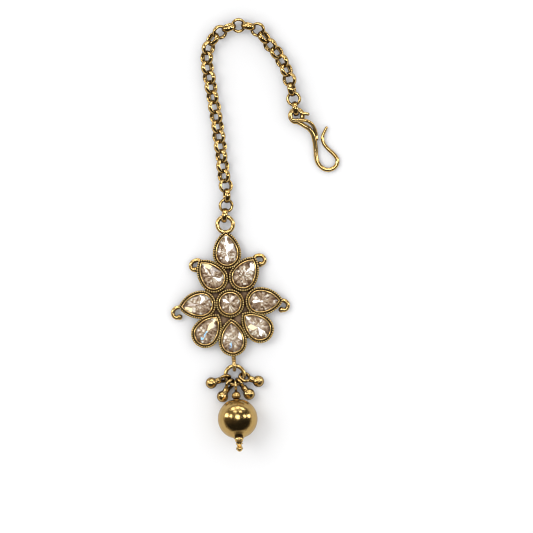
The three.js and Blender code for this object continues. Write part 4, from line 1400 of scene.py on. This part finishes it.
def floor():
    start_piece()
    bpy.ops.mesh.primitive_plane_add(size=TABLE_SIDE)
    piece = bpy.context.object
    piece.name = "table"
    material = bpy.data.materials.new("white_table")
    material.use_nodes = True
    tree = material.node_tree
    shader = tree.nodes["Principled BSDF"]
    shader.inputs["Roughness"].default_value = 0.9
    shader.inputs["Specular IOR Level"].default_value = 0.1
    place = add(tree, "ShaderNodeTexCoord").outputs["Object"]
    white = ramp(tree, noise(tree, place, 60, 2), TABLE_WHITES)
    mirrored = add(tree, "ShaderNodeLightPath").outputs["Is Glossy Ray"]
    tree.links.new(mix(tree, mirrored, white, TABLE_IN_MIRRORS), shader.inputs["Base Color"])
    piece.data.materials.append(material)


def lamp(name, away, size, power, aim=(0, 0, 0), **sight):
    """A soft flat lamp at a place in metres, turned to its aim."""
    start_piece()
    bpy.ops.object.light_add(type="AREA", location=away)
    light = bpy.context.object
    light.name = name
    light.data.shape = "RECTANGLE"
    light.data.size, light.data.size_y = size
    light.data.energy = power
    light.rotation_euler = (Vector(away) - Vector(aim)).to_track_quat("Z", "Y").to_euler()
    for key, value in sight.items():
        setattr(light, key, value)
    return light


LAMP_ROWS = [
    {"lean": 68, "turns": (-26, 0, 26), "size": (0.2, 0.09), "glow": 5},
    {"lean": 45, "turns": (-20, 22), "size": (0.11, 0.08), "glow": 7},
    {"lean": 8, "turns": (0,), "size": (0.2, 0.18), "glow": 5},
    {"lean": 42, "turns": (-72, 72), "size": (0.12, 0.1), "glow": 8},
    {"lean": 70, "turns": (-76, 78), "size": (0.14, 0.16), "glow": 6},
]
LAMP_DISTANCE = 0.6


def lamp_bank():
    """Rows of studio lamps beyond the jewel's top, as its ball mirrors them."""
    for number, row in enumerate(LAMP_ROWS):
        for turn in row["turns"]:
            side = math.sin(math.radians(row["lean"]))
            away = LAMP_DISTANCE * Vector((
                side * math.sin(math.radians(turn)),
                side * math.cos(math.radians(turn)),
                math.cos(math.radians(row["lean"])),
            ))
            width, depth = row["size"]
            power = row["glow"] * math.pi * width * depth
            lamp(f"lamp_{number}_{turn}", away, row["size"], power, visible_diffuse=False)


def room():
    """A bright room for what is dull and a dim brown one for what mirrors it."""
    world = bpy.data.worlds.new("room")
    bpy.context.scene.world = world
    world.use_nodes = True
    tree = world.node_tree
    tree.nodes.clear()
    path = add(tree, "ShaderNodeLightPath")
    way = add(tree, "ShaderNodeTexCoord").outputs["Generated"]
    height = add(tree, "ShaderNodeSeparateXYZ", {"Vector": way}).outputs["Z"]
    toward_lamps = add(tree, "ShaderNodeVectorMath", {0: way, 1: TOWARD_LAMPS}, operation="DOT_PRODUCT")
    walls = ramp(tree, toward_lamps.outputs["Value"], WALL_TONES)
    dim = mix(tree, ramp(tree, height, NEAR_TABLE), walls, NEAR_TABLE_TONE)
    mirrored = calc(tree, "MAXIMUM", path.outputs["Is Glossy Ray"], path.outputs["Is Transmission Ray"])
    colour = mix(tree, mirrored, ROOM_LIGHT, dim)
    sky = add(tree, "ShaderNodeBackground", {"Color": colour, "Strength": 1.0})
    end = add(tree, "ShaderNodeOutputWorld")
    tree.links.new(sky.outputs["Background"], end.inputs["Surface"])


def camera():
    """Looks straight down from far off, so that a pixel is the same size all over the jewel."""
    width = IMAGE_SIDE * PIXEL
    middle = IMAGE_SIDE / 2
    x = flower_middle.x + (middle - FLOWER_PIXEL[0]) * PIXEL
    y = flower_middle.y + (FLOWER_PIXEL[1] - middle) * PIXEL
    start_piece()
    bpy.ops.object.camera_add(location=(x * MM, y * MM, CAMERA_HEIGHT * MM), rotation=(0, 0, 0))
    eye = bpy.context.object
    eye.name = "camera"
    eye.data.sensor_width = SENSOR
    eye.data.lens = SENSOR * CAMERA_HEIGHT / width
    eye.data.clip_start = 0.01
    bpy.context.scene.camera = eye


floor()
lamp_bank()
lamp("key_lamp", **KEY_LAMP, visible_glossy=False)
room()
camera()
bpy.context.scene.view_settings.view_transform = "Standard"
bpy.context.scene.cycles.filter_width = 1.0
